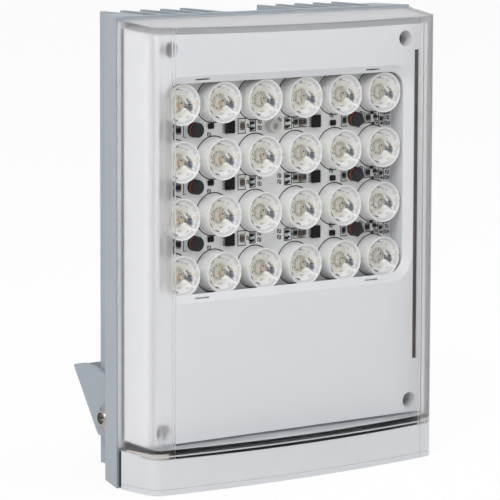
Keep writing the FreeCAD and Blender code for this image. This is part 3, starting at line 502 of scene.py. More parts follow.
GLAZE_DARK = grained(
    "dark glaze", linear(38, 38, 40), linear(30, 30, 32), 3000, (0.6, 0.7), 0.1, Specular_IOR_Level=0.08
)
EMITTER_BASE = grained(
    "cream emitter ceramic", linear(250, 248, 240), linear(240, 236, 224), 9000, (0.3, 0.4), 0.05
)
PHOSPHOR = grained(
    "yellow phosphor", linear(236, 186, 96), linear(226, 160, 70), 4000, (0.35, 0.45), 0.05
)
RUBBER = grained("black seal rubber", linear(44, 44, 46), linear(36, 36, 38), 2500, (0.6, 0.75), 0.2)
SEAL_GREY = grained(
    "grey seal rubber", linear(206, 207, 210), linear(196, 197, 201), 2500, (0.5, 0.65), 0.1
)
# Painted shade for the inside of the bezel's slot.
SLOT_PAINTED_SHADE = grained(
    "painted shade in the slot", linear(92, 84, 80), linear(78, 71, 68), 2500, (0.55, 0.7), 0.1
)
PAD_GREY = grained("thermal pad", linear(140, 150, 160), linear(128, 138, 150), 1500, (0.7, 0.8), 0.3)
NYLON_GREY = grained(
    "grey gland nylon", linear(140, 144, 148), linear(128, 132, 137), 1700, (0.4, 0.5), 0.15
)
MASK_GREEN = grained(
    "green solder mask", linear(46, 110, 74), linear(38, 98, 64), 900, (0.25, 0.35), 0.1
)
TERMINAL_GREEN = grained(
    "green terminal plastic", linear(70, 140, 90), linear(60, 128, 80), 1700, (0.35, 0.45), 0.1
)


def spot_group():
    """A soft oval mark on a face-on map: 1 inside it and 0 outside."""
    group = bpy.data.node_groups.new("oval mark", "ShaderNodeTree")
    for name, kind in (
        ("Place", "NodeSocketVector"),
        ("Middle", "NodeSocketVector"),
        ("Turn", "NodeSocketFloat"),
        ("Reach", "NodeSocketVector"),
        ("Hardness", "NodeSocketFloat"),
    ):
        group.interface.new_socket(name, in_out="INPUT", socket_type=kind)
    group.interface.new_socket("Mask", in_out="OUTPUT", socket_type="NodeSocketFloat")
    nodes, links = group.nodes, group.links
    given = nodes.new("NodeGroupInput")
    result = nodes.new("NodeGroupOutput")
    turned = nodes.new("ShaderNodeVectorRotate")
    turned.rotation_type = "Z_AXIS"
    apart = nodes.new("ShaderNodeVectorMath")
    apart.operation = "SUBTRACT"
    share = nodes.new("ShaderNodeVectorMath")
    share.operation = "DIVIDE"
    length = nodes.new("ShaderNodeVectorMath")
    length.operation = "LENGTH"
    inside = nodes.new("ShaderNodeMapRange")
    inside.interpolation_type = "SMOOTHSTEP"
    inside.inputs["From Max"].default_value = 1.0
    inside.inputs["To Min"].default_value = 1.0
    inside.inputs["To Max"].default_value = 0.0
    links.new(given.outputs["Place"], turned.inputs["Vector"])
    links.new(given.outputs["Middle"], turned.inputs["Center"])
    links.new(given.outputs["Turn"], turned.inputs["Angle"])
    links.new(turned.outputs["Vector"], apart.inputs[0])
    links.new(given.outputs["Middle"], apart.inputs[1])
    links.new(apart.outputs["Vector"], share.inputs[0])
    links.new(given.outputs["Reach"], share.inputs[1])
    links.new(share.outputs["Vector"], length.inputs[0])
    links.new(length.outputs["Value"], inside.inputs["Value"])
    links.new(given.outputs["Hardness"], inside.inputs["From Min"])
    links.new(inside.outputs["Result"], result.inputs["Mask"])
    return group


OVAL_MARK = spot_group()


def painted_light_bowl_material():
    """The bowl under a lens, painted with the shade, the highlights and the reflections of the emitter
    that the lens plastic shows.
    """
    material = grained(
        "bowl with painted light under the lens", linear(234, 234, 236), linear(206, 206, 209), 40000, (0.2, 0.3), 0.05
    )
    nodes, links = material.node_tree.nodes, material.node_tree.links
    shader = nodes["Principled BSDF"]
    colour = shader.inputs["Base Color"].links[0].from_socket
    face_on = nodes.new("ShaderNodeUVMap")
    face_on.uv_map = "face_on"
    for across, up, half_width, half_height, turn, hardness, shade in BOWL_PAINTED_LIGHT_MARKS:
        mark = nodes.new("ShaderNodeGroup")
        mark.node_tree = OVAL_MARK
        mark.inputs["Middle"].default_value = (across / 20 + 0.5, up / 20 + 0.5, 0)
        mark.inputs["Turn"].default_value = math.radians(-turn)
        mark.inputs["Reach"].default_value = (half_width / 20, half_height / 20, 1)
        mark.inputs["Hardness"].default_value = hardness
        mix = nodes.new("ShaderNodeMix")
        mix.data_type = "RGBA"
        mix.inputs["B"].default_value = shade
        links.new(face_on.outputs["UV"], mark.inputs["Place"])
        links.new(mark.outputs["Mask"], mix.inputs["Factor"])
        links.new(colour, mix.inputs["A"])
        colour = mix.outputs["Result"]
    links.new(colour, shader.inputs["Base Color"])
    return material


# Painted shade, a painted lit area, painted highlights and painted reflections of the emitter, for the
# bowl under each lens.
PAINTED_SHADE_BLUE = linear(104, 106, 116)
PAINTED_SHADE_GREY = linear(158, 157, 160)
PAINTED_SHADE_SOFT = linear(206, 206, 208)
PAINTED_SHADE_DARK = linear(40, 40, 42)
PAINTED_REFLECTION_CREAM = linear(248, 245, 236)
PAINTED_LIT_PALE = linear(250, 250, 250)
PAINTED_HIGHLIGHT = linear(255, 255, 255)
PAINTED_REFLECTION_ORANGE = linear(240, 206, 166)

# Painted shade, highlights and reflections, in millimetres from the lens's middle: across, up, half width,
# half height, turn, hardness, shade.
BOWL_PAINTED_LIGHT_MARKS = (
    (0.0, 0.0, 6.85, 6.85, 0, 0.9, PAINTED_LIT_PALE),
    (0.0, 0.0, 5.6, 5.6, 0, 0.7, PAINTED_REFLECTION_CREAM),
    (-3.0, 0.0, 4.4, 5.6, 0, 0.8, PAINTED_REFLECTION_CREAM),
    (3.0, 4.6, 1.2, 0.4, -30, 0.2, PAINTED_SHADE_SOFT),
    (0.6, 5.4, 1.6, 0.5, -8, 0.2, PAINTED_SHADE_SOFT),
    (0.2, -4.6, 1.8, 0.5, 4, 0.2, PAINTED_SHADE_SOFT),
    (3.4, -4.9, 1.2, 0.5, 35, 0.2, PAINTED_SHADE_SOFT),
    (-3.4, 3.4, 1.0, 0.5, 40, 0.2, PAINTED_SHADE_SOFT),
    (6.4, -2.6, 0.5, 1.2, 20, 0.2, PAINTED_SHADE_SOFT),
    (4.5, -0.6, 1.7, 2.8, 15, 0.5, PAINTED_SHADE_GREY),
    (4.5, -1.3, 1.1, 2.0, 30, 0.5, PAINTED_SHADE_BLUE),
    (6.1, 0.7, 0.9, 1.6, 0, 0.5, PAINTED_REFLECTION_CREAM),
    (6.3, 0.2, 0.3, 1.0, 0, 0.1, PAINTED_REFLECTION_ORANGE),
    (3.8, 0.4, 0.4, 2.3, -4, 0.4, PAINTED_SHADE_DARK),
    (4.8, -0.3, 1.3, 0.3, 0, 0.3, PAINTED_SHADE_DARK),
    (4.9, -3.0, 0.3, 1.5, 38, 0.2, PAINTED_SHADE_GREY),
    (4.4, 3.6, 0.7, 1.6, -30, 0.3, PAINTED_HIGHLIGHT),
    (5.6, -4.4, 0.6, 1.4, 40, 0.3, PAINTED_HIGHLIGHT),
    (6.8, 2.2, 0.5, 0.7, -15, 0.3, PAINTED_HIGHLIGHT),
    (2.9, -2.4, 0.45, 0.45, 0, 0.4, PAINTED_SHADE_DARK),
    (-4.4, 4.4, 0.5, 1.4, -45, 0.4, PAINTED_SHADE_DARK),
    (-1.4, 5.9, 1.2, 0.4, 8, 0.4, PAINTED_SHADE_DARK),
    (-5.2, -3.4, 0.5, 1.5, 38, 0.4, PAINTED_SHADE_DARK),
    (-2.4, -5.7, 1.7, 0.4, -20, 0.4, PAINTED_SHADE_DARK),
    (-4.1, 0.9, 0.4, 0.7, 0, 0.4, PAINTED_SHADE_DARK),
    (-3.9, -1.2, 0.4, 0.6, 0, 0.4, PAINTED_SHADE_DARK),
    (-4.3, 2.4, 0.3, 0.5, -20, 0.4, PAINTED_SHADE_DARK),
)
BOWL_PAINTED_LIGHT = painted_light_bowl_material()
CLEAR_COVER = clear("clear cover plastic", (0.97, 0.972, 0.975, 1.0), 1.58, 0.0)
FROSTED_COVER = clear("frosted cover plastic", (0.985, 0.985, 0.99, 1.0), 1.58, 0.34)
CLEAR_LENS = clear("clear lens plastic", (0.985, 0.985, 0.98, 1.0), 1.49, 0.0)


# The clear cover and the lower cap


def side_slope(rear, front, height_rear, height_front):
    return (height_front - height_rear) / (front - rear)


def bowed_block(name, inset, rear, low, high, radius):
    """An upright block inside the cover's tapered sides and bowed front."""
    lip_front = COVER_LOW_REAR
    corner_y = PLATE_FACE - CORNER_AHEAD
    taper = (COVER_REAR_WIDTH - COVER_FRONT_WIDTH) / 2 / (lip_front - corner_y)
    bow_radius = ((COVER_FRONT_WIDTH / 2) ** 2 + FRONT_BOW**2) / (2 * FRONT_BOW)
    bow_centre = corner_y - FRONT_BOW + bow_radius
    half = COVER_FRONT_WIDTH / 2 - inset
    inner_radius = bow_radius - inset
    front_y = bow_centre - math.sqrt(inner_radius**2 - half**2)
    rear_half = COVER_REAR_WIDTH / 2 - inset - (lip_front - rear) * taper
    sweep = 2 * math.asin(half / inner_radius)
    bpy.ops.object.select_all(action="DESELECT")
    bpy.ops.mesh.primitive_plane_add(size=MM, location=(0, 0, 0))
    piece = bpy.context.object
    open_up(piece, "VERT")
    bpy.ops.mesh.select_all(action="SELECT")
    bpy.ops.mesh.merge(type="CENTER")
    bpy.ops.transform.translate(value=(-half, front_y, low))
    bpy.ops.mesh.spin(
        steps=BOW_STEPS, angle=-sweep, center=(0, bow_centre, low), axis=(0, 0, 1)
    )
    bpy.ops.mesh.select_all(action="DESELECT")
    pick(piece, "verts", lambda v: v.co.x < -half + NEAR)
    bpy.ops.mesh.extrude_vertices_move(
        TRANSFORM_OT_translate={"value": (half - rear_half, rear - front_y, 0)}
    )
    bpy.ops.mesh.extrude_vertices_move(TRANSFORM_OT_translate={"value": (2 * rear_half, 0, 0)})
    bpy.ops.mesh.select_all(action="SELECT")
    bpy.ops.mesh.remove_doubles(threshold=1e-7)
    bpy.ops.mesh.select_all(action="DESELECT")
    pick(piece, "verts", lambda v: abs(v.co.x - half) < NEAR or abs(v.co.x - rear_half) < NEAR)
    bpy.ops.mesh.edge_face_add()
    bpy.ops.mesh.select_all(action="SELECT")
    bpy.ops.mesh.edge_face_add()
    bpy.ops.mesh.select_mode(type="FACE")
    bpy.ops.mesh.select_all(action="SELECT")
    bpy.ops.mesh.extrude_region_move(TRANSFORM_OT_translate={"value": (0, 0, high - low)})
    turn = math.pi / 2 - math.atan(taper) - sweep / 2
    reach = radius * math.tan(turn / 2)

    def is_upright(edge):
        return abs(edge.verts[0].co.z - edge.verts[1].co.z) > (high - low) / 2

    bpy.ops.mesh.select_mode(type="EDGE")
    bpy.ops.mesh.select_all(action="DESELECT")
    pick(
        piece,
        "edges",
        lambda e: is_upright(e) and half - 1.1 * reach < abs(middle_of(e).x) < half - NEAR,
    )
    bpy.ops.mesh.dissolve_edges(use_verts=True)
    bpy.ops.mesh.select_all(action="DESELECT")
    pick(
        piece,
        "edges",
        lambda e: is_upright(e)
        and abs(abs(middle_of(e).x) - half) < NEAR
        and abs(middle_of(e).y - front_y) < NEAR,
    )
    bpy.ops.mesh.bevel(offset=reach, segments=CORNER_STEPS, affect="EDGES")
    close_up(piece)
    return settle(piece, name)


def slice_off(piece, point, normal):
    """Cuts the piece on a plane and closes it, keeping the side that the normal leaves."""
    open_up(piece)
    bpy.ops.mesh.select_all(action="SELECT")
    bpy.ops.mesh.bisect(plane_co=point, plane_no=normal, use_fill=True, clear_outer=True)
    return close_up(piece)


def slope_ends(piece, inset, foot=True):
    """Slices a cover block on its sloping top and foot."""
    lip_front = COVER_LOW_REAR
    nose = PLATE_FACE - CORNER_AHEAD - FRONT_BOW
    run = lip_front - nose
    top = Vector((0, -(COVER_TOP_REAR - COVER_TOP_FRONT), run))
    slice_off(piece, (0, lip_front, COVER_TOP_REAR - inset), top)
    if foot:
        low = Vector((0, COVER_FOOT_REAR - COVER_FOOT_FRONT, -run))
        slice_off(piece, (0, lip_front, COVER_FOOT_REAR + inset), low)
    return piece


def slope_foot(piece, drop):
    """Slices away all that lies more than a drop below the cover's sloping top."""
    nose = PLATE_FACE - CORNER_AHEAD - FRONT_BOW
    down = Vector((0, COVER_TOP_REAR - COVER_TOP_FRONT, nose - COVER_LOW_REAR))
    return slice_off(piece, (0, COVER_LOW_REAR, COVER_TOP_REAR - drop), down)


NEAR = 0.02 * MM
BOW_STEPS = 72
CORNER_STEPS = 16
COVER_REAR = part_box("gasket")[0].y
COVER_LOW_REAR = COVER_REAR - LIP_DEPTH


def score_uprights(piece, high, places):
    """Fine upright lines in the front, where the round corners meet the pane."""
    for x in places:
        line_y = PLATE_FACE - CORNER_AHEAD - FRONT_BOW * (1 - (2 * x / COVER_FRONT_WIDTH) ** 2)
        line = rod("line", (x, line_y, -MM), (x, line_y, high), 0.3 * MM, 4)
        combine(piece, line, "DIFFERENCE")


def score_level(piece, level):
    """A fine level line all round the front and the sides."""
    low, high = level - 0.14 * MM, level + 0.14 * MM
    ring = block("ring", (-80 * MM, -40 * MM, low), (80 * MM, COVER_REAR - 2 * MM, high))
    core = bowed_block("core", 0.14 * MM, COVER_REAR, low - MM, high + MM, CORNER_RADIUS)
    combine(ring, core, "DIFFERENCE")
    combine(piece, ring, "DIFFERENCE")


def make_cover():
    """The clear shell: a bowed block with a lip, hollowed from behind."""
    above = COVER_TOP_REAR + 5 * MM
    piece = bowed_block("clear_shell", 0, COVER_REAR, 5 * MM, above, CORNER_RADIUS)
    slope_ends(piece, 0)
    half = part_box("clear_cover")[1].x
    lip = block(
        "lip",
        (-half, COVER_LOW_REAR, COVER_FOOT_REAR - LIP_HEIGHT),
        (half, COVER_REAR, COVER_TOP_REAR + LIP_HEIGHT),
    )
    combine(piece, lip, "UNION")
    behind = COVER_REAR + 2 * MM
    hollow = bowed_block("hollow", COVER_WALL, behind, 5 * MM, above, INNER_CORNER_RADIUS)
    slope_ends(hollow, COVER_WALL)
    combine(piece, hollow, "DIFFERENCE")
    front = PLATE_FACE - CORNER_AHEAD
    inner_line = PANE_HALF - 1.15 * MM
    score_uprights(piece, above, (-PANE_HALF, -inner_line, inner_line, PANE_HALF))
    score_level(piece, COVER_FOOT_FRONT + 1.7 * MM)
    soften(piece, 0.35 * MM, 3)
    paint(piece, FROSTED_COVER, CLEAR_COVER)

    def polished(face):
        outer = face.normal.y < -0.97 and face.center.y < front
        inner = face.normal.y > 0.97 and face.center.y < front + COVER_WALL + MM
        foot = face.center.z < COVER_FOOT_REAR + COVER_WALL + MM and abs(face.normal.z) > 0.9
        return (foot or outer or inner) and abs(face.center.x) < PANE_HALF

    recolour(piece, 1, polished)
    return stands_for(piece, "clear_plastic", "clear_cover")


def make_cap():
    """The white cap, hollow inside, that carries the cover's form down to the foot."""
    rear = PLATE_FACE - CAP_REAR
    above = 40 * MM
    piece = bowed_block("cap_shell", 0, rear, 0, above, CORNER_RADIUS)
    nose = PLATE_FACE - CORNER_AHEAD - FRONT_BOW
    run = COVER_LOW_REAR - nose
    up = Vector((0, -(COVER_FOOT_REAR - COVER_FOOT_FRONT), run))
    slice_off(piece, (0, COVER_LOW_REAR, COVER_FOOT_REAR - CAP_SEAM), up)
    hollow = bowed_block(
        "cap_hollow", CAP_WALL, rear + 2 * MM, CAP_WALL, above, CORNER_RADIUS - CAP_WALL / 2
    )
    slice_off(hollow, (0, COVER_LOW_REAR, COVER_FOOT_REAR - CAP_SEAM - CAP_WALL), up)
    combine(piece, hollow, "DIFFERENCE")
    score_uprights(piece, above, (PANE_HALF,))
    score_level(piece, 2.2 * MM)
    for low, high in solids_in("cap_screws"):
        middle = (low + high) / 2
        radius = (high.x - low.x) / 2 + 0.25 * MM
        hole = rod("hole", (middle.x, middle.y, -MM), (middle.x, middle.y, CAP_WALL + MM), radius)
        combine(piece, hole, "DIFFERENCE")
    soften(piece, 0.3 * MM, 3)
    paint(piece, CAP_WHITE, CAP_PAINTED_SHADE)
    # The lower rounded edge gets the darker grey: painted shade.
    recolour(piece, 1, lambda face: -0.96 < face.normal.z < -0.3 and face.center.z < MM)
    return stands_for(piece, "cap_plastic", "lower_cap")


def make_cover_painted_light():
    """Painted light and shade in the clear cover: light and warm strips inside its foot as painted
    reflections, and grey strips of painted shade under its top and down its right corner.
    """
    painted_strips = []
    # Light and warm strips inside the clear foot, painted reflections; the warm ones only at the corners
    # and sides.
    for low, high, corners in ((1.05, 1.45, False), (0.5, 1.0, True), (1.5, 2.3, True)):
        low, high = COVER_FOOT_FRONT + low * MM, COVER_FOOT_FRONT + high * MM
        reflection_strip = bowed_block("reflection_strip", 0.9 * MM, COVER_REAR - 4 * MM, low, high, CORNER_RADIUS)
        core = bowed_block("core", 1.5 * MM, COVER_REAR, low - MM, high + MM, CORNER_RADIUS)
        combine(reflection_strip, core, "DIFFERENCE")
        if corners:
            reach = PANE_HALF + MM
            middle = block("middle", (-reach, -0.1, 0), (reach, 0, 0.1))
            combine(reflection_strip, middle, "DIFFERENCE")
        painted_strips.append(paint(soften(reflection_strip, 0, 1), WARM_PAINTED_REFLECTION if corners else CAP_WHITE))
    # A grey band inside the wall just under the top: painted shade.
    band = bowed_block("band", 0.7 * MM, COVER_REAR - MM, 0.15, 0.19, CORNER_RADIUS)
    core = bowed_block("core", 1.1 * MM, COVER_REAR, 0.14, 0.2, CORNER_RADIUS)
    combine(band, core, "DIFFERENCE")
    slope_ends(band, 0.45 * MM, foot=False)
    slope_foot(band, 3.1 * MM)
    painted_strips.append(paint(soften(band, 0, 1), COVER_PAINTED_SHADE))
    # A grey strip inside the wall at the right corner: painted shade.
    foot = COVER_FOOT_FRONT + 2.5 * MM
    edge = bowed_block("edge", 0.35 * MM, COVER_REAR, foot, 0.19, CORNER_RADIUS - 0.35 * MM)
    core = bowed_block("core", 0.65 * MM, COVER_REAR, 0, 0.2, CORNER_RADIUS - 0.65 * MM)
    combine(edge, core, "DIFFERENCE")
    corner = PLATE_FACE - CORNER_AHEAD
    kept = block("kept", (66.2 * MM, corner - 2 * MM, 0), (80 * MM, corner + 3.6 * MM, 0.2))
    combine(edge, kept, "INTERSECT")
    slope_ends(edge, 0.45 * MM, foot=False)
    painted_strips.append(paint(soften(edge, 0, 1), COVER_PAINTED_SHADE))
    stands_for(joined(painted_strips, "cover_painted_light_strips"), "cap_plastic")


def make_plain_pieces():
    """The pieces whose CAD form is right, with their edges rounded, and a strip of painted shade in the
    bezel's slot.
    """
    refined("housing", "finned_housing", 0.35 * MM, PAINT, "painted_aluminium")
    refined("bracket", "folded_bracket", 0.35 * MM, PAINT, "painted_aluminium", body="bracket")
    refined("bezel", "window_bezel", 0.3 * MM, BEZEL_WHITE, "bezel_plastic", segments=3)
    refined("led_board", "emitter_board", 0.1 * MM, BOARD_WHITE, "board_mask")
    refined("cap_screws", "cap_fixings", 0.15 * MM, STEEL, "steel")
    refined("bezel_screws", "bezel_fixings", 0.15 * MM, STEEL, "steel")
    refined("board_screws", "board_fixings", 0.15 * MM, BRIGHT_ZINC, "steel")
    refined("pivot_screw_left", "left_pivot", 0.15 * MM, STEEL, "steel")
    refined("pivot_screw_right", "right_pivot", 0.15 * MM, STEEL, "steel")
    # A dark strip in the bezel's slot: painted shade.
    strip = block(
        "slot_shade_strip",
        (SLOT_MIDDLE - SLOT_WIDTH / 2, BEZEL_LOW.y + 0.7 * MM, SLOT_LOW + 0.2 * MM),
        (SLOT_MIDDLE + SLOT_WIDTH / 2, BEZEL_LOW.y + 2.4 * MM, SLOT_HIGH - 0.2 * MM),
    )
    paint(soften(strip, 0.2 * MM, 2), SLOT_PAINTED_SHADE)
    stands_for(strip, "seal")
    for node, material in (
        ("gasket", SEAL_GREY),
        ("foot_seal", RUBBER),
        ("thermal_pad", PAD_GREY),
        ("driver_board", MASK_GREEN),
        ("driver_parts", MOULD_BLACK),
        ("terminal_block", TERMINAL_GREEN),
        ("cable_gland", NYLON_GREY),
        ("gland_dome_nut", NYLON_GREY),
        ("gland_lock_nut", NYLON_GREY),
        ("vent_plug", NYLON_GREY),
        ("washer_left", STEEL),
        ("washer_right", STEEL),
    ):
        paint(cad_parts[node], material)


# The lenses and what lies in their cups

LENS_FRONT = 7.35 * MM
LENS_RADIUS = 7.62 * MM
LENS_STEPS = 56
DISH_RADIUS = 2.3 * MM
DISH_FLOOR = 5.4 * MM
CUP_RIM = 7.6 * MM
CUP_WALL = 8.08 * MM
BOWL_TOP = 7.35 * MM
BOWL_FOOT = 3.3 * MM
BOWL_FOCUS = 8.25 * MM
BOWL_LIFT = 0.18 * MM
LENS_SPAN = 20 * MM


def bowl(spare=0.0, steps=9):
    """The bowl's curve under the lens from its top to its foot, as (radius, y) points."""
    points = []
    for step in range(steps + 1):
        radius = BOWL_TOP + (BOWL_FOOT - BOWL_TOP) * step / steps
        points.append((radius + spare, -BOWL_LIFT - radius**2 / BOWL_FOCUS))
    return points


def make_lenses():
    """One lens with a dish in its face, copied into each cup."""
    outline = [
        (0, -DISH_FLOOR - 0.35 * MM),
        (DISH_RADIUS * 0.45, -DISH_FLOOR - 0.3 * MM),
        (DISH_RADIUS * 0.8, -DISH_FLOOR - 0.1 * MM),
        (DISH_RADIUS * 0.94, -DISH_FLOOR),
        (DISH_RADIUS, -LENS_FRONT),
        (LENS_RADIUS, -LENS_FRONT),
        (LENS_RADIUS + 0.1 * MM, -LENS_FRONT + 0.5 * MM),
    ]
    outline += bowl(0.2 * MM)
    outline += [(BOWL_FOOT - 0.05 * MM, -0.02 * MM), (0, -0.02 * MM)]
    master = spun("lens_master", outline, LENS_STEPS)
    soften(master, 0.06 * MM, 1, math.radians(50))
    paint(master, CLEAR_LENS)
    for number, (low, high) in enumerate(LENS_BOXES, 1):
        middle = (low + high) / 2
        place = Vector((middle.x, BOARD_FACE, middle.z))
        lens = placed_copy(master, place, "clear_lens_%02d" % number)
        stands_for(lens, "lens_plastic", "lens_%02d" % number)
    bpy.data.objects.remove(master)


def map_face_on(piece):
    """A flat UV map of the piece from in front, one lens span to the unit."""
    layer = piece.data.uv_layers.new(name="face_on")
    for loop in piece.data.loops:
        place = piece.data.vertices[loop.vertex_index].co
        layer.data[loop.index].uv = (place.x / LENS_SPAN + 0.5, place.z / LENS_SPAN + 0.5)


def make_cups():
    """White cups with a bowl under the lens painted with light, shade and reflections, and a notch in the
    rim at the right.
    """
    outline = [
        (BOWL_FOOT - 0.15 * MM, 0),
        (7.8 * MM, 0),
        (CUP_WALL, -CUP_RIM + 0.3 * MM),
        (CUP_WALL - 0.1 * MM, -CUP_RIM),
        (CUP_WALL - 0.3 * MM, -CUP_RIM),
        (LENS_RADIUS + 0.05 * MM, -CUP_RIM + 0.25 * MM),
        (BOWL_TOP + 0.12 * MM, -LENS_FRONT + 0.35 * MM),
    ]
    outline += bowl()
    outline += [(BOWL_FOOT - 0.15 * MM, -0.8 * MM), (BOWL_FOOT - 0.15 * MM, 0)]
    master = spun("cup_master", outline, 72)
    notch = rod("notch", (CUP_WALL - MM, -CUP_RIM, 0), (CUP_WALL + MM, -CUP_RIM, 0), 0.75 * MM, 3)
    combine(master, notch, "DIFFERENCE")
    soften(master, 0.08 * MM, 2)
    map_face_on(master)
    paint(master, CUP_WHITE, BOWL_PAINTED_LIGHT)
    # The bowl faces carry the painted light, shade and reflections.
    recolour(
        master,
        1,
        lambda face: face.center.y > -LENS_FRONT + 0.3 * MM
        and math.hypot(face.center.x, face.center.z) < BOWL_TOP + 0.15 * MM,
    )
    for row in range(4):
        cups = []
        for low, high in LENS_BOXES[row * 6 : row * 6 + 6]:
            middle = (low + high) / 2
            cups.append(placed_copy(master, Vector((middle.x, BOARD_FACE, middle.z)), "cup"))
        name = "cups_row_%d" % (row + 1)
        stands_for(joined(cups, name), "cup_plastic", "lens_" + name)
    bpy.data.objects.remove(master)


def make_emitters():
    """Twenty-four emitters: a cream base, a yellow chip and dark marks round it."""
    half = 1.72 * MM
    base = block("base", (-half, -0.75 * MM, -half), (half, 0, half))
    soften(base, 0.1 * MM, 2)
    paint(base, EMITTER_BASE, PHOSPHOR, INK)
    seat = spun("seat", [(0, 0), (3.1 * MM, 0), (3.1 * MM, -0.12 * MM), (0, -0.12 * MM)], 40)
    soften(seat, 0, 1)
    paint(seat, EMITTER_BASE, PHOSPHOR, INK)
    chip = block("chip", (0.95 * MM, -0.85 * MM, -1.3 * MM), (1.7 * MM, -0.6 * MM, 1.1 * MM))
    paint(chip, EMITTER_BASE, PHOSPHOR, INK)
    recolour(chip, 1, lambda face: True)
    marks = []
    for step in range(10):
        turn = math.tau * step / 10
        mark = block(
            "mark", (2.4 * MM, -0.16 * MM, -0.2 * MM), (2.75 * MM, 0, 0.2 * MM)
        )
        mark.data.transform(Matrix.Rotation(turn, 4, "Y"))
        paint(mark, EMITTER_BASE, PHOSPHOR, INK)
        recolour(mark, 2, lambda face: True)
        marks.append(mark)
    master = joined([base, seat, chip] + marks, "emitter_master")
    copies = []
    for low, high in LENS_BOXES:
        middle = (low + high) / 2
        copies.append(
            placed_copy(master, Vector((middle.x, BOARD_FACE, middle.z)), "emitter")
        )
    bpy.data.objects.remove(master)
    emitters = joined(copies, "cream_emitters")
    stands_for(emitters, "emitter", "led_emitters")


# The small parts and the ink between the rows of lenses

ROW_HEIGHTS = [centre(LENS_BOXES[row * 6]).z for row in range(4)]
GAP_HEIGHTS = [(ROW_HEIGHTS[row] + ROW_HEIGHTS[row + 1]) / 2 for row in range(3)]
INK_THICK = 0.03 * MM
INK_LINE = 0.34 * MM


def flat_block(name, x, z, depth, material, lift=0.0):
    """A small block on the board between two places across and two places up."""
    piece = block(name, (x[0], BOARD_FACE - lift - depth, z[0]), (x[1], BOARD_FACE - lift, z[1]))
    return paint(piece, material)


def two_ended(low, high, material, upright):
    """A chip capacitor or resistor: a coloured body between two tinned ends."""
    width, height = high.x - low.x, high.z - low.z
    depth = high.y - low.y
    end = (height if upright else width) * 0.22
    if upright:
        core = flat_block("core", (low.x, high.x), (low.z + end, high.z - end), depth * 0.94, material)
        ends = [
            flat_block("end", (low.x, high.x), (low.z, low.z + end), depth, TIN),
            flat_block("end", (low.x, high.x), (high.z - end, high.z), depth, TIN),
        ]
    else:
        core = flat_block("core", (low.x + end, high.x - end), (low.z, high.z), depth * 0.94, material)
        ends = [
            flat_block("end", (low.x, low.x + end), (low.z, high.z), depth, TIN),
            flat_block("end", (high.x - end, high.x), (low.z, high.z), depth, TIN),
        ]
    for piece in ends:
        soften(piece, 0.06 * MM, 2)
    return joined([core] + ends, "chip_part")


def at_gap(across, rise, width, height, depth):
    """The corners of a part beside the middle of the lowest gap, in millimetres."""
    x, z = across * MM, GAP_HEIGHTS[2] + rise * MM
    half_x, half_z = width * MM / 2, height * MM / 2
    return (
        Vector((x - half_x, BOARD_FACE - depth * MM, z - half_z)),
        Vector((x + half_x, BOARD_FACE, z + half_z)),
    )


def in_every_gap(pieces, name):
    """Joins the pieces of the lowest gap and repeats them in the other two."""
    master = joined(pieces, name)
    copies = [
        placed_copy(master, Vector((0, 0, height - GAP_HEIGHTS[2])), name)
        for height in GAP_HEIGHTS[:2]
    ]
    return joined([master] + copies, name)


def ink_bar(across, rise, width, height):
    low, high = at_gap(across, rise, width, height, 0)
    return flat_block("bar", (low.x, high.x), (low.z, high.z), INK_THICK, INK)


def ink_outline(left, right, low, high, sides="LRTB"):
    """Thin printed lines round a part, on the named sides."""
    line = INK_LINE / MM
    middle, level = (left + right) / 2, (low + high) / 2
    places = {
        "L": (left, level, line, high - low),
        "R": (right, level, line, high - low),
        "T": (middle, high, right - left + line, line),
        "B": (middle, low, right - left + line, line),
    }
    return [ink_bar(*places[side]) for side in sides]


def ink_mark(across, rise, strokes=3, tall=1.45):
    """A plain mark of upright strokes joined by level ones, like a row of small boxes."""
    pitch = 0.72
    start = across - pitch * (strokes - 1) / 2
    bars = [ink_bar(start + pitch * i, rise, 0.4, tall) for i in range(strokes)]
    for step in range(strokes - 1):
        level = tall / 2 * (1, -1, 0)[step % 3]
        bars.append(ink_bar(start + pitch * (step + 0.5), rise + level, pitch, 0.38))
    return bars


def make_coils():
    """Drum coils: two ferrite cheeks with a copper winding that shows between them."""
    radius = 2.95 * MM
    pieces = []
    boxes = [pair for pair in solids_in("board_coils")]
    for low, high in boxes:
        middle = (low + high) / 2
        tall = high.y - low.y
        foot = spun("cheek", [(0, 0), (radius, 0), (radius, -0.7 * MM), (0, -0.7 * MM)], 40)
        top = spun(
            "cheek",
            [
                (0, -tall),
                (radius * 0.92, -tall),
                (radius * 0.98, -tall + 0.15 * MM),
                (radius * 0.98, -tall + 0.9 * MM),
                (0, -tall + 0.9 * MM),
            ],
            40,
        )
        wire = spun("winding", [(radius * 0.3, -0.6 * MM)] + [
            (radius * (0.86 + 0.05 * (step % 2)), -0.65 * MM - (tall - 1.2 * MM) * step / 8)
            for step in range(9)
        ] + [(radius * 0.3, -tall + 0.5 * MM)], 40)
        for piece, material in ((foot, FERRITE), (top, FERRITE), (wire, COPPER)):
            soften(piece, 0, 1)
            paint(piece, material)
            piece.data.transform(Matrix.Translation((middle.x, BOARD_FACE, middle.z)))
            pieces.append(piece)
    coils = joined(pieces, "drum_coils")
    stands_for(coils, "ferrite", "board_coils")


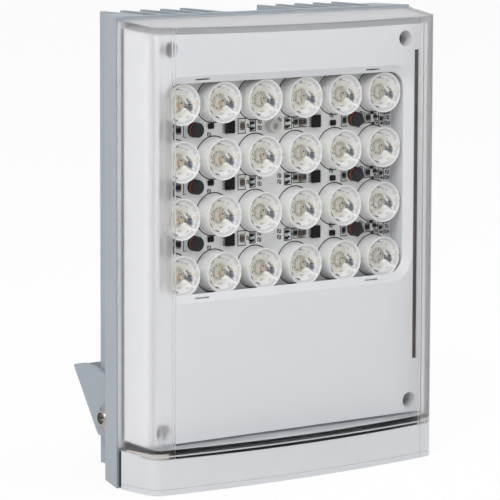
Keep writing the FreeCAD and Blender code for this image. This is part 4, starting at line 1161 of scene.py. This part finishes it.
def make_chips():
    """Eight-lead chips with tinned gull-wing leads."""
    reach, lead, pitch = 1.0 * MM, 0.42 * MM, 1.27 * MM
    pieces = []
    for low, high in solids_in("driver_chips"):
        case = block("case", (low.x + reach, low.y, low.z), (high.x - reach, high.y - 0.1 * MM, high.z))
        soften(case, 0.18 * MM, 2)
        paint(case, MOULD_BLACK)
        pieces.append(case)
        middle = (low.z + high.z) / 2
        for side in (-1, 1):
            outer = low.x if side < 0 else high.x
            inner = outer - side * reach
            knee = outer - side * reach * 0.45
            for row in range(4):
                z = middle + pitch * (row - 1.5)
                zs = (z - lead / 2, z + lead / 2)
                foot = flat_block("foot", sorted((outer, knee)), zs, 0.2 * MM, TIN)
                shin = flat_block("shin", sorted((knee, knee - side * 0.2 * MM)), zs, 0.8 * MM, TIN)
                arm = flat_block("arm", sorted((knee, inner)), zs, 0.2 * MM, TIN, lift=0.7 * MM)
                pieces += [foot, shin, arm]
    chips = joined(pieces, "eight_lead_chips")
    stands_for(chips, "black_plastic", "driver_chips")


def make_two_ended():
    """The ceramic capacitors, the resistors and the diodes."""
    capacitors = []
    for low, high in solids_in("capacitors"):
        outer = abs(low.x + high.x) / 2 > 40 * MM
        capacitors.append(two_ended(low, high, GLAZE_DARK if outer else CERAMIC_BROWN, True))
    stands_for(joined(capacitors, "chip_capacitors"), "ceramic", "capacitors")
    resistors = [two_ended(low, high, GLAZE_DARK, False) for low, high in solids_in("resistors")]
    stands_for(joined(resistors, "chip_resistors"), "resistor_body", "resistors")
    diodes = []
    for low, high in solids_in("diodes"):
        case = block("case", (low.x, low.y, low.z), high)
        soften(case, 0.45 * MM, 4)
        diodes.append(paint(case, MOULD_BLACK))
    stands_for(joined(diodes, "rounded_diodes"), "black_plastic", "diodes")


def make_more_small_parts():
    """Further parts that crowd the gaps, beside those that the frame has."""
    dark = [
        (10.2, 0.8, 1.4, 2.6), (34.3, 0.1, 1.5, 2.9), (49.7, 0.9, 1.2, 2.4), (52.9, -0.2, 1.1, 2.2),
        (5.8, 1.6, 1.2, 1.6), (5.8, -0.9, 1.2, 1.6), (-11.3, 1.5, 1.0, 1.6), (-11.3, -0.7, 1.0, 1.6),
    ]
    brown = [(14.6, 0.7, 1.1, 2.6), (43.6, -0.9, 1.3, 2.2), (46.1, 0.6, 1.2, 2.0)]
    wide = [(48.0, 2.4, 2.6, 1.2), (48.6, -1.9, 2.0, 1.1), (-48.9, -1.2, 1.8, 1.2), (54.4, 1.9, 1.8, 1.0)]
    pieces = [two_ended(*at_gap(*place, 0.7), GLAZE_DARK, True) for place in dark]
    pieces += [two_ended(*at_gap(*place, 0.9), CERAMIC_BROWN, True) for place in brown]
    pieces += [two_ended(*at_gap(*place, 0.5), GLAZE_DARK, False) for place in wide]
    stands_for(in_every_gap(pieces, "crowded_small_parts"), "ceramic")


def make_ink():
    """Printed lines round the parts and the cups, and plain marks beside them."""
    lines = []
    lines += ink_outline(-43.4, -36.0, -2.4, 3.6, "L")
    lines += [ink_bar(-42.7, -2.4, 1.4, 0.22), ink_bar(-42.7, 3.6, 1.4, 0.22)]
    lines += ink_outline(-17.6, -14.0, -2.3, 3.5, "LTB")
    lines += [ink_bar(-14.0, 2.8, 0.22, 1.4), ink_bar(-14.0, -1.6, 0.22, 1.4)]
    lines += ink_outline(-11.9, -9.3, -1.7, 2.7)
    lines += ink_outline(4.9, 8.4, -1.9, 2.8)
    lines += ink_outline(9.2, 15.5, -1.4, 3.0, "LB")
    lines += [ink_bar(12.2, -1.0, 0.22, 1.0), ink_bar(8.85, 0.5, 0.6, 0.6)]
    lines += ink_outline(33.0, 36.0, -2.3, 2.4, "LB")
    lines += ink_outline(44.8, 47.5, -1.6, 2.8, "LRB")
    lines += ink_outline(51.9, 54.6, -3.2, 3.2, "LR")
    for across, rise in (
        (-48.0, 2.2), (-48.0, -1.8), (-31.4, -1.9), (-12.6, 0.4), (-7.2, 1.9), (-7.2, -0.6),
        (2.4, 2.0), (2.4, -0.4), (28.0, 2.4), (43.2, 2.4), (50.6, -1.4), (56.3, 0.0), (41.3, -2.4),
    ):
        lines += ink_mark(across, rise)
    for across, rise in ((56.3, 2.2), (56.3, -2.2), (-48.0, 0.3), (50.6, 0.6), (53.3, 3.9)):
        lines += ink_mark(across, rise, 4)
    for across in (-29.3, -9.8, 9.8, 29.3):
        lines += ink_mark(across, 4.4, 4, 1.2)
    stands_for(in_every_gap(lines, "printed_lines"), "board_mask")
    rings = []
    outline = [
        (8.2 * MM, 0), (8.2 * MM, -INK_THICK), (8.62 * MM, -INK_THICK), (8.62 * MM, 0), (8.2 * MM, 0),
    ]
    ring = spun("ring", outline, 64)
    paint(ring, INK)
    for low, high in LENS_BOXES:
        middle = (low + high) / 2
        rings.append(placed_copy(ring, Vector((middle.x, BOARD_FACE, middle.z)), "ring"))
    bpy.data.objects.remove(ring)
    stands_for(joined(rings, "printed_rings"), "board_mask")


# Stage, light and camera


def make_stage():
    """A white floor whose camera colour is near white and still shows a soft shadow."""
    bpy.ops.object.select_all(action="DESELECT")
    bpy.ops.mesh.primitive_plane_add(size=8, location=(0, 1.0, 0))
    floor = settle(bpy.context.object, "floor")
    material = bpy.data.materials.new("white floor")
    material.use_nodes = True
    nodes, links = material.node_tree.nodes, material.node_tree.links
    shader = nodes["Principled BSDF"]
    shader.inputs["Base Color"].default_value = (0.9, 0.9, 0.9, 1)
    shader.inputs["Roughness"].default_value = 0.9
    shader.inputs["Specular IOR Level"].default_value = 0.0
    glow = nodes.new("ShaderNodeEmission")
    path = nodes.new("ShaderNodeLightPath")
    seen = nodes.new("ShaderNodeMath")
    seen.operation = "MAXIMUM"
    seen_through = nodes.new("ShaderNodeMath")
    seen_through.operation = "MAXIMUM"
    share = nodes.new("ShaderNodeMath")
    share.operation = "MULTIPLY"
    share.inputs[1].default_value = 0.88
    mix = nodes.new("ShaderNodeMixShader")
    links.new(path.outputs["Is Camera Ray"], seen.inputs[0])
    links.new(path.outputs["Is Glossy Ray"], seen.inputs[1])
    links.new(seen.outputs[0], seen_through.inputs[0])
    links.new(path.outputs["Is Transmission Ray"], seen_through.inputs[1])
    links.new(seen_through.outputs[0], share.inputs[0])
    links.new(share.outputs[0], mix.inputs["Fac"])
    links.new(shader.outputs[0], mix.inputs[1])
    links.new(glow.outputs[0], mix.inputs[2])
    links.new(mix.outputs[0], nodes["Material Output"].inputs["Surface"])
    paint(floor, material)


def make_flag():
    """A dark card at the right, seen only in reflections, that keeps them off the front."""
    bpy.ops.object.select_all(action="DESELECT")
    bpy.ops.mesh.primitive_grid_add(x_subdivisions=1, y_subdivisions=1, size=1)
    card = bpy.context.object
    near, far = Vector((0.03, -0.06, 0.001)), Vector((0.35, -0.6, 0.3))
    for vertex in card.data.vertices:
        middle, reach = (near, 0.28) if vertex.co.y < 0 else (far, 0.5)
        vertex.co = middle + Vector((reach if vertex.co.x > 0 else -reach, 0, 0))
    settle(card, "dark_card")
    paint(card, RUBBER)
    card.visible_camera = False
    card.visible_diffuse = False
    card.visible_shadow = False


def make_world():
    """White to the camera; for the object an even light, darker from behind the camera."""
    world = bpy.data.worlds.new("studio")
    bpy.context.scene.world = world
    world.use_nodes = True
    nodes, links = world.node_tree.nodes, world.node_tree.links
    path = nodes.new("ShaderNodeLightPath")
    place = nodes.new("ShaderNodeTexCoord")
    facing = nodes.new("ShaderNodeVectorMath")
    facing.operation = "DOT_PRODUCT"
    facing.inputs[1].default_value = (-0.5, -0.85, 0.15)
    level = nodes.new("ShaderNodeMapRange")
    level.inputs["From Min"].default_value = 0.55
    level.inputs["From Max"].default_value = 0.95
    level.inputs["To Min"].default_value = WORLD_BRIGHT
    level.inputs["To Max"].default_value = WORLD_DARK
    light = nodes["Background"]
    light.inputs["Color"].default_value = (1, 1, 1, 1)
    shown = nodes.new("ShaderNodeBackground")
    shown.inputs["Color"].default_value = (1, 1, 1, 1)
    mix = nodes.new("ShaderNodeMixShader")
    links.new(place.outputs["Generated"], facing.inputs[0])
    links.new(facing.outputs["Value"], level.inputs["Value"])
    links.new(level.outputs["Result"], light.inputs["Strength"])
    links.new(path.outputs["Is Camera Ray"], mix.inputs["Fac"])
    links.new(light.outputs[0], mix.inputs[1])
    links.new(shown.outputs[0], mix.inputs[2])
    links.new(mix.outputs[0], nodes["World Output"].inputs["Surface"])


def make_lamp(name, place, size, watts):
    """A soft square lamp that looks at the lens grid."""
    data = bpy.data.lights.new(name, "AREA")
    data.size = size
    data.energy = watts
    lamp = bpy.data.objects.new(name, data)
    lamp.location = place
    aim = GRID_CENTRE - Vector(place)
    lamp.rotation_euler = aim.to_track_quat("-Z", "Y").to_euler()
    bpy.context.scene.collection.objects.link(lamp)


def make_camera():
    """The photograph's view, with its frame shifted as the photograph's is."""
    back = Vector(
        (
            math.sin(CAMERA_YAW) * math.cos(CAMERA_PITCH),
            -math.cos(CAMERA_YAW) * math.cos(CAMERA_PITCH),
            math.sin(CAMERA_PITCH),
        )
    )
    level = Vector((math.cos(CAMERA_YAW), math.sin(CAMERA_YAW), 0))
    upright = back.cross(level)
    right = level * math.cos(CAMERA_ROLL) + upright * math.sin(CAMERA_ROLL)
    up = upright * math.cos(CAMERA_ROLL) - level * math.sin(CAMERA_ROLL)
    data = bpy.data.cameras.new("camera")
    data.sensor_width = SENSOR
    data.lens = CAMERA_FOCAL_PX / PHOTO_SIDE_PX * SENSOR
    data.shift_x = -CAMERA_CENTRE_PX[0] / PHOTO_SIDE_PX
    data.shift_y = CAMERA_CENTRE_PX[1] / PHOTO_SIDE_PX
    data.clip_start = 0.01
    camera = bpy.data.objects.new("camera", data)
    place = Vector((GRID_CENTRE.x, LENS_RIM_Y, GRID_CENTRE.z)) + back * CAMERA_DISTANCE
    turn = Matrix((right, up, back)).transposed().to_4x4()
    camera.matrix_world = Matrix.Translation(place) @ turn
    bpy.context.scene.collection.objects.link(camera)
    bpy.context.scene.camera = camera


LENS_RIM_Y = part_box("lens_cups_row_1")[0].y

make_cover()
make_cap()
make_cover_painted_light()
make_plain_pieces()
make_cups()
make_lenses()
make_emitters()
make_coils()
make_chips()
make_two_ended()
make_more_small_parts()
make_ink()
make_stage()
make_flag()
make_world()
make_lamp("key", (-1.1, -0.9, 1.2), 1.0, 17.0)
make_lamp("fill", (1.3, -0.4, 0.9), 1.2, 5)
make_camera()

bpy.context.scene.view_settings.view_transform = "Standard"
